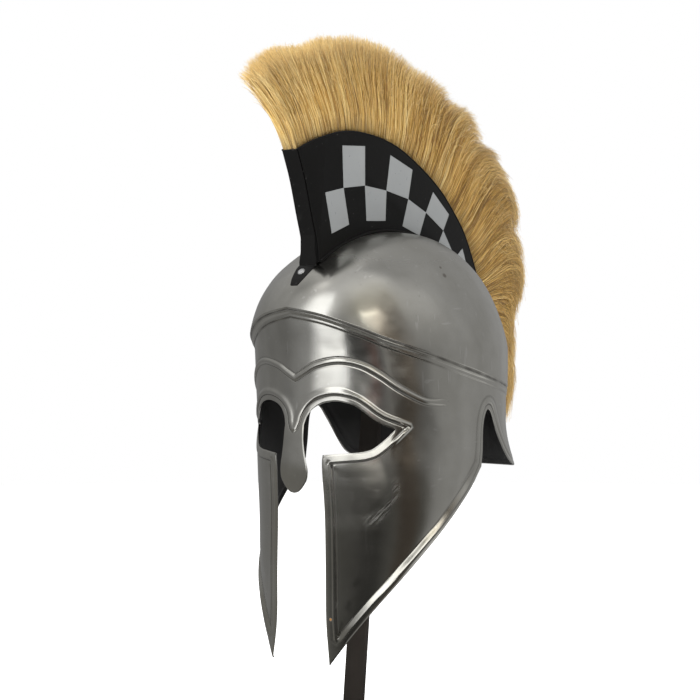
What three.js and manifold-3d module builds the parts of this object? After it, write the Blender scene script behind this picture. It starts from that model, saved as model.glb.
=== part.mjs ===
// A crested Corinthian-style helmet of raised steel sheet, standing on a plain display stand.
// Millimetres, +Z up. The face looks along -Y and the wearer's left is +X. The origin is the
// centre of the stand's foot, on the table and straight under the helmet's upright axis.
import * as THREE from 'three';
import { mergeVertices, mergeGeometries } from 'three/addons/utils/BufferGeometryUtils.js';
import Module from 'manifold-3d';

const wasm = await Module();
wasm.setup();

// ---- Driving dimensions -------------------------------------------------------------------
const DATUM = 340;                    // the helmet's datum, level with the brow, above the table
const GAP = 0.3;                      // between pieces that touch

const SHEET = { wall: 1.4, top: 100.8, columns: 52, innerColumns: 36 };
const DOME = { side: 100, front: 123.4, back: 128.7 };      // half width and reaches at the datum
const ROUNDNESS = {                   // the dome's upright curve: (1 - u^rise)^(1/fall)
  front: { rise: 2.5, fall: 1.57 }, side: { rise: 1.4, fall: 2.9 }, back: { rise: 1.4, fall: 2.8 },
};
const SECTIONS = [                    // plan of the lower helmet at each height
  { z: -262, side: 95, front: 106, back: 121 },
  { z: -225, side: 95.5, front: 103.3, back: 121 },
  { z: -180, side: 96, front: 102.9, back: 121 },
  { z: -135, side: 96.7, front: 103, back: 121 },
  { z: -88, side: 97.4, front: 105.2, back: 121.2 },
  { z: -20, side: 98, front: 106.5, back: 121.5 },
  { z: 30, side: 98, front: 113.5, back: 122 },
  { z: 60, side: 98, front: 117, back: 122.5 },
];
const RIDGE = { band: 5 };            // the dome overhangs the face along this sloping line
const RIDGE_LINE = [                  // degrees round from the front, and its height
  { turn: 0, z: 32 }, { turn: 14, z: 27 }, { turn: 30, z: 16.5 }, { turn: 42, z: 7.5 },
  { turn: 60, z: -3 }, { turn: 85, z: -15.5 }, { turn: 127, z: -30.5 }, { turn: 155, z: -38 },
  { turn: 180, z: -41 },
];
const NOSE = { forward: 5, starts: -35, full: -75, inner: 12, outer: 24 };
const FLARE = { starts: -62, drop: 33, out: 6.7, power: 1.6, fromTurn: 95, fullTurn: 120 };

// Outlines are drawn on the sheet laid flat: g is the girth from the front centre line, taken on
// a cylinder of GIRTH_RADIUS, and z is the height from the datum.
const GIRTH_RADIUS = 100;
const NASAL_SIDE = [
  { g: 0, z: -115.7 }, { g: 4.2, z: -114.7 }, { g: 8.4, z: -111 }, { g: 12.6, z: -104.5 },
  { g: 13.6, z: -98.5 }, { g: 12.8, z: -92 }, { g: 11.2, z: -84 }, { g: 9.8, z: -73 }, { g: 9.4, z: -60 },
];
const EYE_TOP = [
  { g: 9.4, z: -60 }, { g: 12, z: -52.5 }, { g: 17.6, z: -46.3 }, { g: 26, z: -42.3 },
  { g: 36.5, z: -41.1 }, { g: 47.8, z: -43.6 }, { g: 55.7, z: -48.6 }, { g: 63.2, z: -54.6 },
  { g: 71.7, z: -59.7 }, { g: 81.5, z: -63.6 },
];
const EYE_FLOOR = [
  { g: 81.5, z: -63.6 }, { g: 75.5, z: -69.5 }, { g: 69.3, z: -75 }, { g: 62.5, z: -79.6 },
  { g: 53.4, z: -81.8 }, { g: 38.6, z: -83 }, { g: 24.2, z: -84.4 },
];
const CHEEK_FRONT = [
  { g: 24.2, z: -84.4 }, { g: 23.5, z: -95 }, { g: 24.9, z: -135 }, { g: 25.7, z: -180 },
  { g: 26.2, z: -220 }, { g: 29.8, z: -253.5 },
];
const CHEEK_REAR = [
  { g: 29.8, z: -253.5 }, { g: 45.5, z: -232 }, { g: 62, z: -211.5 }, { g: 76, z: -195.5 },
  { g: 97.5, z: -172.5 }, { g: 120.5, z: -149.5 }, { g: 144.5, z: -126.5 }, { g: 161, z: -111 },
  { g: 173, z: -96.5 },
];
const NOTCH = [
  { g: 173, z: -96.5 }, { g: 175.2, z: -82 }, { g: 176.4, z: -67 }, { g: 178.4, z: -57 },
  { g: 182, z: -51 }, { g: 186, z: -49.4 }, { g: 190.5, z: -52.5 }, { g: 196, z: -60.5 },
  { g: 202.5, z: -70 }, { g: 209, z: -80 }, { g: 217, z: -91 }, { g: 225, z: -96.8 },
];
const GUARD = [
  { g: 225, z: -96.8 }, { g: 250, z: -96.5 }, { g: 285, z: -95.5 }, { g: Math.PI * GIRTH_RADIUS, z: -95 },
];
const BROW = [
  { g: 0, z: -22.8 }, { g: 9, z: -17.8 }, { g: 20, z: -12 }, { g: 37.7, z: -8.8 }, { g: 54.8, z: -12 },
  { g: 69.3, z: -20 }, { g: 84.8, z: -31 }, { g: 102, z: -39.8 }, { g: 113, z: -42.2 }, { g: 124, z: -42 },
];
const BEAD = { inset: 7.25, half: 2.75, proud: 1.2, meets: { g: 0, z: -65 }, leans: { g: 3.2, z: -57 } };
const BROW_BEAD = { half: 2.5, proud: 1.3 };

const CREST = { half: 9.2, wall: 1.2, clear: 0.5 };
const CREST_ARC = [                   // the upper edge of each side panel, front to back
  { y: -113, z: 162 }, { y: -98, z: 169 }, { y: -82, z: 174.5 }, { y: -62, z: 180 }, { y: -40, z: 182.2 },
  { y: -10, z: 180 }, { y: 15, z: 174 }, { y: 36, z: 165 }, { y: 59, z: 152.5 }, { y: 78, z: 139.5 },
  { y: 94, z: 124.5 }, { y: 109, z: 108 }, { y: 121, z: 88 }, { y: 133, z: 61 }, { y: 139, z: 36 },
];
const CREST_FRONT = [                 // the leaning front edge, top to bottom
  { y: -113, z: 162 }, { y: -104, z: 139 }, { y: -96, z: 111 }, { y: -91, z: 94.5 }, { y: -87.5, z: 80 },
];
const CREST_REAR_EDGE = [             // the hidden rear edge, top to bottom
  { y: 139, z: 36 }, { y: 137.5, z: 20 }, { y: 133.6, z: 6 },
];
const LEAF = [                        // the riveted tab: half width against the distance down the dome
  { half: 7.4, z: 78 }, { half: 9, z: 72 }, { half: 8.6, z: 66 }, { half: 6.2, z: 58 }, { half: 3.6, z: 52.5 },
  { half: 1.25, z: 48 },
];
const LEAF_THICK = 1;
const RIVET = { y: -98.2, head: 3.3, rise: 1.5, shank: 1.7, hole: 2.0 };

const PLUME = { locks: 38, first: 0.02, last: 0.985 };
const PLUME_EDGE = [                  // where the hair ends, from the front tip to the tail
  { y: -152, z: 213 }, { y: -147, z: 229 }, { y: -128, z: 242 }, { y: -101, z: 251 }, { y: -72, z: 259 },
  { y: -35, z: 263 }, { y: 5, z: 259 }, { y: 35, z: 250 }, { y: 62, z: 242 }, { y: 88, z: 231 }, { y: 114, z: 217 },
  { y: 137, z: 197 }, { y: 160, z: 179 }, { y: 179, z: 158 }, { y: 187, z: 133 }, { y: 193, z: 104 },
  { y: 197, z: 75 }, { y: 196, z: 45 }, { y: 194, z: 10 }, { y: 191, z: -22 }, { y: 186, z: -48 }, { y: 178, z: -68 },
];
const PLUME_FLOW = [                  // share along the crest, share along the hair's edge, droop of the tips
  { root: 0, tip: 0, sweep: -0.1 }, { root: 0.2, tip: 0.17, sweep: 0 }, { root: 0.4, tip: 0.35, sweep: 0.12 },
  { root: 0.6, tip: 0.52, sweep: 0.25 }, { root: 0.8, tip: 0.7, sweep: 0.4 }, { root: 0.9, tip: 0.84, sweep: 0.5 },
  { root: 1, tip: 1, sweep: 0.6 },
];

const STAND = {
  foot: { radius: 110, height: 15, round: 3 },
  post: { width: 20, thick: 4, footY: -36, lean: 0.098 },
  cap: { radius: 17, height: 6 },
};

// ---- Small helpers ------------------------------------------------------------------------
const clamp01 = (t) => Math.min(1, Math.max(0, t));
const ease = (t) => { const u = clamp01(t); return u * u * (3 - 2 * u); };

/** A smooth curve through a table's rows that never overshoots between them. */
function through(rows, key, value) {
  const slope = rows.slice(1).map((row, i) => (row[value] - rows[i][value]) / (row[key] - rows[i][key]));
  const tangent = rows.map((row, i) => {
    if (i === 0) return slope[0];
    if (i === rows.length - 1) return slope[i - 1];
    const [a, b] = [slope[i - 1], slope[i]];
    return a * b <= 0 ? 0 : (2 * a * b) / (a + b);
  });
  return (x) => {
    let i = rows.findIndex((row, n) => n > 0 && x <= row[key]) - 1;
    if (x <= rows[0][key]) i = 0;
    if (i < 0) i = rows.length - 2;
    const width = rows[i + 1][key] - rows[i][key];
    const t = clamp01((x - rows[i][key]) / width);
    const [t2, t3] = [t * t, t * t * t];
    return rows[i][value] * (2 * t3 - 3 * t2 + 1) + rows[i + 1][value] * (3 * t2 - 2 * t3)
      + width * (tangent[i] * (t3 - 2 * t2 + t) + tangent[i + 1] * (t3 - t2));
  };
}

/** Points along a smooth curve through a table of { across, up } rows, about `step` apart. */
function smooth(rows, step, across = 'g', up = 'z') {
  const curve = new THREE.SplineCurve(rows.map((row) => new THREE.Vector2(row[across], row[up])));
  return curve.getSpacedPoints(Math.max(2, Math.round(curve.getLength() / step)));
}

/** A closed mesh as a solid: shared corners are merged and faces turned outwards. */
function solid(geometry) {
  let plain = geometry.index ? geometry : mergeVertices(geometry);
  plain = plain.clone();
  ['normal', 'uv'].forEach((name) => plain.deleteAttribute(name));
  plain = mergeVertices(plain, 1e-5);
  const at = plain.attributes.position;
  const index = Array.from(plain.index.array);
  const [a, b, c] = [new THREE.Vector3(), new THREE.Vector3(), new THREE.Vector3()];
  const kept = [];
  let volume = 0;
  for (let i = 0; i < index.length; i += 3) {
    const [p, q, r] = index.slice(i, i + 3);
    if (p === q || q === r || r === p) continue;
    kept.push(p, q, r);
    volume += a.fromBufferAttribute(at, p).dot(b.fromBufferAttribute(at, q).cross(c.fromBufferAttribute(at, r)));
  }
  if (volume < 0) for (let i = 0; i < kept.length; i += 3) [kept[i], kept[i + 1]] = [kept[i + 1], kept[i]];
  return new wasm.Manifold(new wasm.Mesh({
    numProp: 3, vertProperties: new Float32Array(at.array), triVerts: new Uint32Array(kept),
  }));
}

/** A solid back as a three.js geometry. */
function geometryOf(manifold) {
  const mesh = manifold.getMesh();
  const geometry = new THREE.BufferGeometry();
  geometry.setAttribute('position', new THREE.BufferAttribute(new Float32Array(mesh.vertProperties), 3));
  geometry.setIndex(new THREE.BufferAttribute(new Uint32Array(mesh.triVerts), 1));
  geometry.computeVertexNormals();
  return geometry;
}

/** Rings of points, each the same length, joined in order and closed at both ends. */
function closedRings(rings) {
  const points = rings.flat();
  const size = rings[0].length;
  const index = [];
  for (let i = 0; i + 1 < rings.length; i++) {
    for (let j = 0; j < size; j++) {
      const [a, b] = [i * size + j, i * size + (j + 1) % size];
      index.push(a, b, b + size, a, b + size, a + size);
    }
  }
  [0, rings.length - 1].forEach((i) => {
    const middle = rings[i].reduce((sum, p) => sum.add(p), new THREE.Vector3()).divideScalar(size);
    points.push(middle);
    for (let j = 0; j < size; j++) {
      const [a, b] = [i * size + j, i * size + (j + 1) % size];
      if (i === 0) index.push(b, a, points.length - 1); else index.push(a, b, points.length - 1);
    }
  });
  const geometry = new THREE.BufferGeometry();
  geometry.setAttribute('position', new THREE.Float32BufferAttribute(points.flatMap((p) => p.toArray()), 3));
  geometry.setIndex(index);
  return geometry;
}

/** A plate: an outline in the Y-Z plane, thickened along X between two places. */
function plateYZ(points, fromX, toX) {
  const shape = new THREE.Shape(points.map((p) => new THREE.Vector2(p.y, p.z)));
  const geometry = new THREE.ExtrudeGeometry(shape, { depth: toX - fromX, bevelEnabled: false });
  const toRow = new THREE.Matrix4().set(0, 0, 1, fromX, 1, 0, 0, 0, 0, 1, 0, 0, 0, 0, 0, 1);
  return solid(geometry.applyMatrix4(toRow));
}

/** A plate: an outline in the X-Z plane, thickened along Y between two places. */
function plateXZ(points, fromY, toY) {
  const shape = new THREE.Shape(points.map((p) => new THREE.Vector2(p.x, p.z)));
  const geometry = new THREE.ExtrudeGeometry(shape, { depth: toY - fromY, bevelEnabled: false });
  const toRow = new THREE.Matrix4().set(1, 0, 0, 0, 0, 0, 1, fromY, 0, 1, 0, 0, 0, 0, 0, 1);
  return solid(geometry.applyMatrix4(toRow));
}

const mirrored = (manifold) => manifold.mirror([1, 0, 0]);

// ---- The sheet's surface ------------------------------------------------------------------
const sideAt = through(SECTIONS, 'z', 'side');
const frontAt = through(SECTIONS, 'z', 'front');
const backAt = through(SECTIONS, 'z', 'back');
const ridgeAtTurn = through(RIDGE_LINE, 'turn', 'z');
const degreesRound = (turn) => Math.abs(THREE.MathUtils.radToDeg(Math.atan2(Math.sin(turn), Math.cos(turn))));
const ridgeHeight = (turn) => ridgeAtTurn(degreesRound(turn));

/** Distance from the upright axis of an oval with these half axes, in the direction `turn`. */
function oval(turn, side, front, back, power) {
  const ahead = Math.cos(turn);
  return (Math.abs(Math.sin(turn) / side) ** power + Math.abs(ahead / (ahead > 0 ? front : back)) ** power) ** (-1 / power);
}

function domeRadius(turn, z) {
  const up = clamp01(z / SHEET.top);
  const drawnIn = (way) => DOME[way] * (1 - up ** ROUNDNESS[way].rise) ** (1 / ROUNDNESS[way].fall);
  return oval(turn, drawnIn('side'), drawnIn('front'), drawnIn('back'), 2);
}

function lowerRadius(turn, z) {
  const round = degreesRound(turn);
  const down = Math.max(0, (FLARE.starts - z) / FLARE.drop);
  const flare = FLARE.out * Math.min(down, 2) ** FLARE.power * ease((round - FLARE.fromTurn) / (FLARE.fullTurn - FLARE.fromTurn));
  const girth = THREE.MathUtils.degToRad(round) * GIRTH_RADIUS;
  const nose = NOSE.forward * ease((NOSE.starts - z) / (NOSE.starts - NOSE.full)) * ease((NOSE.outer - girth) / (NOSE.outer - NOSE.inner));
  return oval(turn, sideAt(z), frontAt(z), backAt(z), 2.15) + flare + nose;
}

function sheetRadius(turn, z) {
  const above = clamp01((z - ridgeHeight(turn)) / RIDGE.band + 0.5);
  const low = above < 1 ? lowerRadius(turn, z) : 0;
  return above > 0 ? low + above * (domeRadius(turn, z) - low) : low;
}

function sheetPoint(turn, z) {
  const radius = sheetRadius(turn, z);
  return new THREE.Vector3(radius * Math.sin(turn), -radius * Math.cos(turn), z);
}

function sheetNormal(turn, z) {
  if (z > SHEET.top - 0.01) return new THREE.Vector3(0, 0, 1);
  const [dt, dz] = [0.01, Math.min(0.5, SHEET.top - z - 0.005)];
  const along = sheetPoint(turn + dt, z).sub(sheetPoint(turn - dt, z));
  const up = sheetPoint(turn, z + dz).sub(sheetPoint(turn, z - dz));
  return along.cross(up).normalize();
}

const onSheet = (g, z, lift = 0) => {
  const turn = g / GIRTH_RADIUS;
  return sheetPoint(turn, z).addScaledVector(sheetNormal(turn, z), lift);
};

/** Height of the dome over a place in plan. */
function domeHeight(x, y) {
  const [turn, radius] = [Math.atan2(x, -y), Math.hypot(x, y)];
  let [low, high] = [0, SHEET.top];
  for (let i = 0; i < 40; i++) {
    const z = (low + high) / 2;
    if (domeRadius(turn, z) > radius) low = z; else high = z;
  }
  return low;
}

/** The whole bell, closed across its mouth, with its skin moved in by `inward`. */
function bell(columns, domeRows, lowerRows, inward, mouth) {
  const turns = Array.from({ length: columns }, (_, i) => (i * 2 * Math.PI) / columns);
  const rows = domeRows.map((angle) => turns.map((turn) => {
    const foot = ridgeHeight(turn) + RIDGE.band / 2;
    return [turn, foot + (SHEET.top - foot) * Math.sin(THREE.MathUtils.degToRad(angle))];
  }));
  lowerRows.forEach((share) => rows.push(turns.map((turn) => {
    const head = ridgeHeight(turn) - RIDGE.band / 2;
    return [turn, head + (mouth - head) * share];
  })));
  const rings = rows.map((row) => row.map(([turn, z]) => sheetPoint(turn, z).addScaledVector(sheetNormal(turn, z), -inward)));
  const geometry = closedRings(rings);
  geometry.attributes.position.setXYZ(rings.flat().length, 0, 0, SHEET.top - inward);
  return solid(geometry);
}

// ---- Free edges: eyes, face opening, cheeks, side notches and neck guard ------------------------
const STEPS = new Map([[NASAL_SIDE, 7], [EYE_TOP, 9], [EYE_FLOOR, 13], [CHEEK_FRONT, 34], [CHEEK_REAR, 20], [NOTCH, 9], [GUARD, 18]]);
const edgeRun = (...tables) => tables.flatMap((rows, i) => smooth(rows, STEPS.get(rows)).slice(i ? 1 : 0));

/** A cutter standing across the sheet, its outline given on the laid-flat sheet. */
function radialCutter(outline) {
  const radii = [55, 97, 114, 230];
  const geometry = new THREE.ExtrudeGeometry(new THREE.Shape(outline), { depth: 1, steps: radii.length - 1, bevelEnabled: false });
  const at = geometry.attributes.position;
  for (let i = 0; i < at.count; i++) {
    const turn = at.getX(i) / GIRTH_RADIUS;
    const radius = radii[Math.round(at.getZ(i) * (radii.length - 1))];
    at.setXYZ(i, radius * Math.sin(turn), -radius * Math.cos(turn), at.getY(i));
  }
  return solid(geometry);
}

function faceCutter() {
  const side = edgeRun(NASAL_SIDE, EYE_TOP, EYE_FLOOR, CHEEK_FRONT);
  side.push(new THREE.Vector2(side.at(-1).x, -320));
  const other = side.slice(1).reverse().map((p) => new THREE.Vector2(-p.x, p.y));
  return radialCutter([...side, ...other]);
}

/** Everything below the cheeks' rear edges, the notches and the neck guard, on one side. */
function skirtCutter() {
  const edge = edgeRun(CHEEK_REAR, NOTCH, GUARD);
  edge.push(new THREE.Vector2(edge.at(-1).x + 4, edge.at(-1).y));
  edge[0].x -= 1;
  const rings = edge.map((p) => {
    const turn = p.x / GIRTH_RADIUS;
    const corner = (radius, z) => new THREE.Vector3(radius * Math.sin(turn), -radius * Math.cos(turn), z);
    const sheet = sheetRadius(turn, p.y);
    return [corner(50, -320), corner(180, -320), corner(180, p.y), corner(sheet + 4, p.y), corner(sheet - 4, p.y), corner(50, p.y)];
  });
  return solid(closedRings(rings));
}

/** The free edge moved into the sheet by `inset`: bends are rounded and pointed corners kept. */
function insetRun(edge, inset) {
  const found = [];
  const normals = edge.slice(1).map((p, i) => new THREE.Vector2(-(p.y - edge[i].y), p.x - edge[i].x).normalize());
  const clear = (q) => edge.slice(1).every((p, i) => {
    const along = p.clone().sub(edge[i]);
    const t = clamp01(q.clone().sub(edge[i]).dot(along) / along.lengthSq());
    return q.distanceTo(edge[i].clone().addScaledVector(along, t)) > inset - 0.02;
  });
  edge.forEach((p, i) => {
    const [before, after] = [normals[Math.max(0, i - 1)], normals[Math.min(i, normals.length - 1)]];
    const bend = Math.atan2(before.cross(after), before.dot(after));
    if (bend < -1.2) {                // a pointed corner keeps its point
      const middle = before.clone().rotateAround(new THREE.Vector2(), bend / 2);
      found.push(p.clone().addScaledVector(middle, Math.min(inset / Math.cos(bend / 2), inset * 2)));
      return;
    }
    const fan = bend < -0.35 ? Math.ceil(-bend / 0.35) : 1;
    for (let k = 0; k <= fan; k++) {
      if (fan === 1 && k === 1) break;
      const normal = fan === 1 ? before.clone().add(after).normalize() : before.clone().rotateAround(new THREE.Vector2(), (bend * k) / fan);
      const q = p.clone().addScaledVector(normal, inset);
      if (clear(q)) found.push(q);
    }
  });
  return found;
}

/** A half-buried bead along a path on the sheet: a low arch with a keel inside the sheet. */
const BEAD_SECTION = [[1, -0.15], [0.55, 1], [-0.55, 1], [-1, -0.15], [0, -0.8]];
function beadAlong(path, half, proud, taper = () => 1) {
  const rings = path.map((p, i) => {
    const [before, after] = [path[Math.max(0, i - 1)], path[Math.min(path.length - 1, i + 1)]];
    const normal = sheetNormal(p.x / GIRTH_RADIUS, p.y);
    const along = onSheet(after.x, after.y).sub(onSheet(before.x, before.y)).normalize();
    const across = along.clone().cross(normal).normalize();
    const size = taper(i / (path.length - 1));
    return BEAD_SECTION.map(([aside, up]) => onSheet(p.x, p.y).addScaledVector(across, aside * half * size)
      .addScaledVector(normal, up * proud * size));
  });
  return solid(closedRings(rings));
}

function helmetShell() {
  const outer = bell(SHEET.columns, [80, 67, 54, 41, 29, 18, 8, 0], [0, 0.06, 0.13, 0.22, 0.34, 0.5, 0.72, 1], 0, -262);
  const inner = bell(SHEET.innerColumns, [78, 62, 46, 30, 14, 0], [0, 0.2, 0.45, 0.72, 1], SHEET.wall, -268);
  const edge = edgeRun(EYE_TOP, EYE_FLOOR, CHEEK_FRONT, CHEEK_REAR, NOTCH, GUARD);
  const vee = [BEAD.meets, BEAD.leans].map((p) => new THREE.Vector2(p.g, p.z));
  const rim = beadAlong([...vee, ...insetRun(edge, BEAD.inset).filter((p) => p.x > BEAD.leans.g)], BEAD.half, BEAD.proud);
  const brow = beadAlong(smooth(BROW, 10), BROW_BEAD.half, BROW_BEAD.proud, (t) => Math.min(1, 0.25 + (1 - t) * 5));
  const skirt = skirtCutter();
  let shell = wasm.Manifold.union([outer, rim, mirrored(rim), brow, mirrored(brow)]);
  shell = shell.subtract(wasm.Manifold.union([inner, faceCutter(), skirt, mirrored(skirt)]));
  return shell.subtract(rivetHole());
}

// ---- The crest's black box ----------------------------------------------------------------
const arcPoints = (step) => smooth(CREST_ARC, step, 'y', 'z').map((p) => ({ y: p.x, z: p.y }));
const frontPoints = (step) => smooth(CREST_FRONT, step, 'y', 'z').map((p) => ({ y: p.x, z: p.y }));

/** The dome's line under the crest, from front to back, held clear by `clear`. */
function domeLine(fromY, toY, x, clear, steps) {
  return Array.from({ length: steps + 1 }, (_, i) => {
    const y = fromY + ((toY - fromY) * (1 - Math.cos((Math.PI * i) / steps))) / 2;
    return { y, z: domeHeight(x, y) + clear };
  });
}

/** A side panel's outline, its upper edge and ends moved out by `grow`. */
function panelOutline(grow = 0) {
  const under = domeLine(CREST_FRONT.at(-1).y, 127, CREST.half - CREST.wall, CREST.clear + 0.6, 24);
  const arc = arcPoints(12).map((p, i, list) => {
    const [a, b] = [list[Math.max(0, i - 1)], list[Math.min(list.length - 1, i + 1)]];
    const length = Math.hypot(b.y - a.y, b.z - a.z);
    return { y: p.y - ((b.z - a.z) / length) * grow, z: p.z + ((b.y - a.y) / length) * grow };
  });
  return [...arc, ...CREST_REAR_EDGE.slice(1), ...under.reverse(), ...frontPoints(14).reverse().slice(1, -1)];
}

function crestPanel(side) {
  const panel = plateYZ(panelOutline(), CREST.half - CREST.wall, CREST.half);
  return side > 0 ? panel : mirrored(panel);
}

/** A sheet strip that leans up the crest's front and runs down the dome as a pointed leaf. */
function crestFrontPlate() {
  const thick = LEAF_THICK;
  const half = CREST.half - CREST.wall - GAP;
  const lean = frontPoints(14);
  const down = domeLine(-91, -108.2, 0, CREST.clear, 6);
  const spine = [...lean.slice(0, -1), ...down];
  const outside = spine.map((p, i) => {
    const [a, b] = [spine[Math.max(0, i - 1)], spine[Math.min(spine.length - 1, i + 1)]];
    const length = Math.hypot(b.y - a.y, b.z - a.z);
    return { y: p.y + ((b.z - a.z) / length) * thick, z: p.z - ((b.y - a.y) / length) * thick };
  });
  const strip = plateYZ([...spine, ...outside.reverse()], -CREST.half, CREST.half);
  const widths = [{ half, z: 175 }, { half, z: 80 }, ...LEAF.slice(1)];
  const right = widths.map((row) => ({ x: row.half, z: row.z }));
  const left = [...right].reverse().map((p) => ({ x: -p.x, z: p.z }));
  const leaf = plateXZ([...right, ...left], -140, -60);
  return strip.intersect(leaf).subtract(rivetHole());
}

/** The plain strip that closes the crest's back, under the hair. */
function crestRearTab() {
  const half = CREST.half - CREST.wall - GAP;
  const back = CREST_REAR_EDGE.map((p) => ({ y: p.y - 1.2, z: p.z }));
  const inside = [...back].reverse().map((p) => ({ y: p.y - 1, z: p.z }));
  return plateYZ([...back, ...inside], -half, half);
}

/** Moves a shape turned about the Y axis to stand on the dome where the rivet is. */
function atRivet(geometry) {
  const turn = RIVET.y < 0 ? 0 : Math.PI;
  const z = domeHeight(0, RIVET.y);
  const lean = new THREE.Quaternion().setFromUnitVectors(new THREE.Vector3(0, 1, 0), sheetNormal(turn, z));
  return geometry.applyQuaternion(lean).translate(...sheetPoint(turn, z).toArray());
}

const rivetHole = () => solid(atRivet(new THREE.CylinderGeometry(RIVET.hole, RIVET.hole, 16, 12)));

/** A round-headed rivet whose shank passes through the leaf and the sheet. */
function crestRivet() {
  const seat = CREST.clear + LEAF_THICK + GAP;
  const { shank, head, rise } = RIVET;
  const profile = [[0, -4], [shank, -4], [shank, seat], [head, seat], [head * 0.86, seat + rise * 0.65], [head * 0.5, seat + rise * 0.95], [0, seat + rise]];
  return atRivet(new THREE.LatheGeometry(profile.map(([r, h]) => new THREE.Vector2(r, h)), 14));
}

// ---- Display stand ------------------------------------------------------------------------
const postAt = (z) => STAND.post.footY + (z + DATUM - STAND.foot.height) * STAND.post.lean;
const capTop = SHEET.top - SHEET.wall - 1.2;

function standFoot() {
  const { radius, height, round } = STAND.foot;
  const profile = [[0, 0], [radius, 0], [radius, height - round], [radius - round * 0.3, height - round * 0.3], [radius - round, height], [0, height]];
  return new THREE.LatheGeometry(profile.map(([r, h]) => new THREE.Vector2(r, h)), 48).rotateX(Math.PI / 2).translate(0, 0, -DATUM);
}

/** The flat bar that leans back from the foot to the cap under the crown. */
function standPost() {
  const { width, thick } = STAND.post;
  const [from, to] = [STAND.foot.height - DATUM + GAP, capTop - STAND.cap.height - GAP];
  const bar = [{ y: postAt(from) - thick / 2, z: from }, { y: postAt(from) + thick / 2, z: from },
    { y: postAt(to) + thick / 2, z: to }, { y: postAt(to) - thick / 2, z: to }];
  return geometryOf(plateYZ(bar, -width / 2, width / 2));
}

/** A low round pad that carries the crown. */
function standCap() {
  const { radius, height } = STAND.cap;
  const profile = [[0, -height], [radius, -height], [radius, -2.6], [radius - 4, -1], [radius - 9, -0.2], [0, 0]];
  return new THREE.LatheGeometry(profile.map(([r, h]) => new THREE.Vector2(r, h)), 24).rotateX(Math.PI / 2)
    .translate(0, postAt(capTop), capTop);
}

// ---- Plume ----------------------------------------------------------------------------------
const chance = (seed) => { const v = Math.sin(seed * 127.1 + 11.7) * 43758.5453; return v - Math.floor(v); };
const curveYZ = (rows) => new THREE.SplineCurve(rows.map((row) => new THREE.Vector2(row.y, row.z)));
const rootCurve = curveYZ(CREST_ARC);
const tipCurve = curveYZ(PLUME_EDGE);
const tipShare = through(PLUME_FLOW, 'root', 'tip');
const sweepBack = through(PLUME_FLOW, 'root', 'sweep');

/** One lock: a tapered tube from inside the crest to the plume's edge. */
function hairLock(share, side, seed) {
  const root = rootCurve.getPointAt(PLUME.first + share * (PLUME.last - PLUME.first));
  const along = rootCurve.getTangentAt(PLUME.first + share * (PLUME.last - PLUME.first));
  const outwards = new THREE.Vector2(-along.y, along.x);
  const tip = tipCurve.getPointAt(clamp01(tipShare(share)));
  const edge = tipCurve.getTangentAt(clamp01(tipShare(share)));
  const reach = tip.distanceTo(root);
  const first = root.clone().addScaledVector(outwards, reach * 0.42);
  const last = tip.clone().addScaledVector(edge, -reach * sweepBack(share)).addScaledVector(new THREE.Vector2(-edge.y, edge.x), -reach * 0.22);
  const path = new THREE.CubicBezierCurve(root, first, last, tip);
  const rows = [                      // along the lock, half width in the crest's plane, half thickness, sideways
    { at: -0.09, wide: 8, thick: 6.5, aside: 0 }, { at: 0.02, wide: 9, thick: 6.9, aside: 0 },
    { at: 0.3, wide: 12, thick: 8, aside: 3.2 }, { at: 0.72, wide: 13, thick: 8, aside: 5 },
    { at: 0.98, wide: 8.5, thick: 4.5, aside: 5 + 2 * chance(seed) },
  ];
  return solid(closedRings(rows.map((row) => {
    const place = row.at < 0 ? root.clone().addScaledVector(outwards, row.at * 100) : path.getPoint(row.at);
    const heading = row.at < 0 ? outwards : path.getTangent(row.at);
    const across = new THREE.Vector2(-heading.y, heading.x);
    return Array.from({ length: 5 }, (_, k) => {
      const angle = (k * 2 * Math.PI) / 5 + seed;
      const [w, t] = [Math.cos(angle) * row.wide, Math.sin(angle) * row.thick];
      return new THREE.Vector3(side * row.aside + t, place.x + across.x * w, place.y + across.y * w);
    });
  })));
}

function plume() {
  const half = CREST.half - CREST.wall - 0.6;
  const inset = (p, i, list) => {
    const [a, b] = [list[Math.max(0, i - 1)], list[Math.min(list.length - 1, i + 1)]];
    const length = Math.hypot(b.y - a.y, b.z - a.z);
    return { y: p.y + ((b.z - a.z) / length) * 3, z: p.z - ((b.y - a.y) / length) * 3 };
  };
  const top = arcPoints(16).map(inset).filter((p) => p.y > -106 && p.z > 42);
  const bottom = domeLine(-84, 118, half, 9, 14);
  const strip = plateYZ([...top, ...bottom.reverse()], -half, half);
  const locks = [];
  for (let i = 0; i < PLUME.locks; i++) {
    const side = i % 2 ? 1 : -1;
    locks.push(hairLock((i / (PLUME.locks - 1)) ** 0.88, side, i));
  }
  const beside = plateYZ(panelOutline(GAP), half + GAP, 40);
  const lean = frontPoints(14);
  const ahead = [...lean.map((p) => ({ y: p.y + GAP + 0.2, z: p.z + GAP })), { y: -200, z: 80 }, { y: -200, z: 162 + GAP }];
  const behind = [...CREST_REAR_EDGE.map((p) => ({ y: p.y + 0.5, z: p.z + 1 })), ...[...CREST_REAR_EDGE].reverse().map((p) => ({ y: p.y - 3, z: p.z + 1 }))];
  return wasm.Manifold.union([strip, ...locks])
    .subtract(wasm.Manifold.union([beside, mirrored(beside), plateYZ(ahead, -40, 40), plateYZ(behind, -half - GAP, half + GAP)]));
}

// ---- The object -----------------------------------------------------------------------------
const material = (color, roughness, metalness) => new THREE.MeshStandardMaterial({ color, roughness, metalness });
const STEEL = material(0xa8a6a2, 0.32, 1);
const BLACK = material(0x16161a, 0.45, 0.2);
const PALE = material(0xc8c6c0, 0.35, 1);
const HAIR = material(0xc8a468, 0.7, 0);
const POST = material(0x302a26, 0.5, 0.3);

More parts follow.
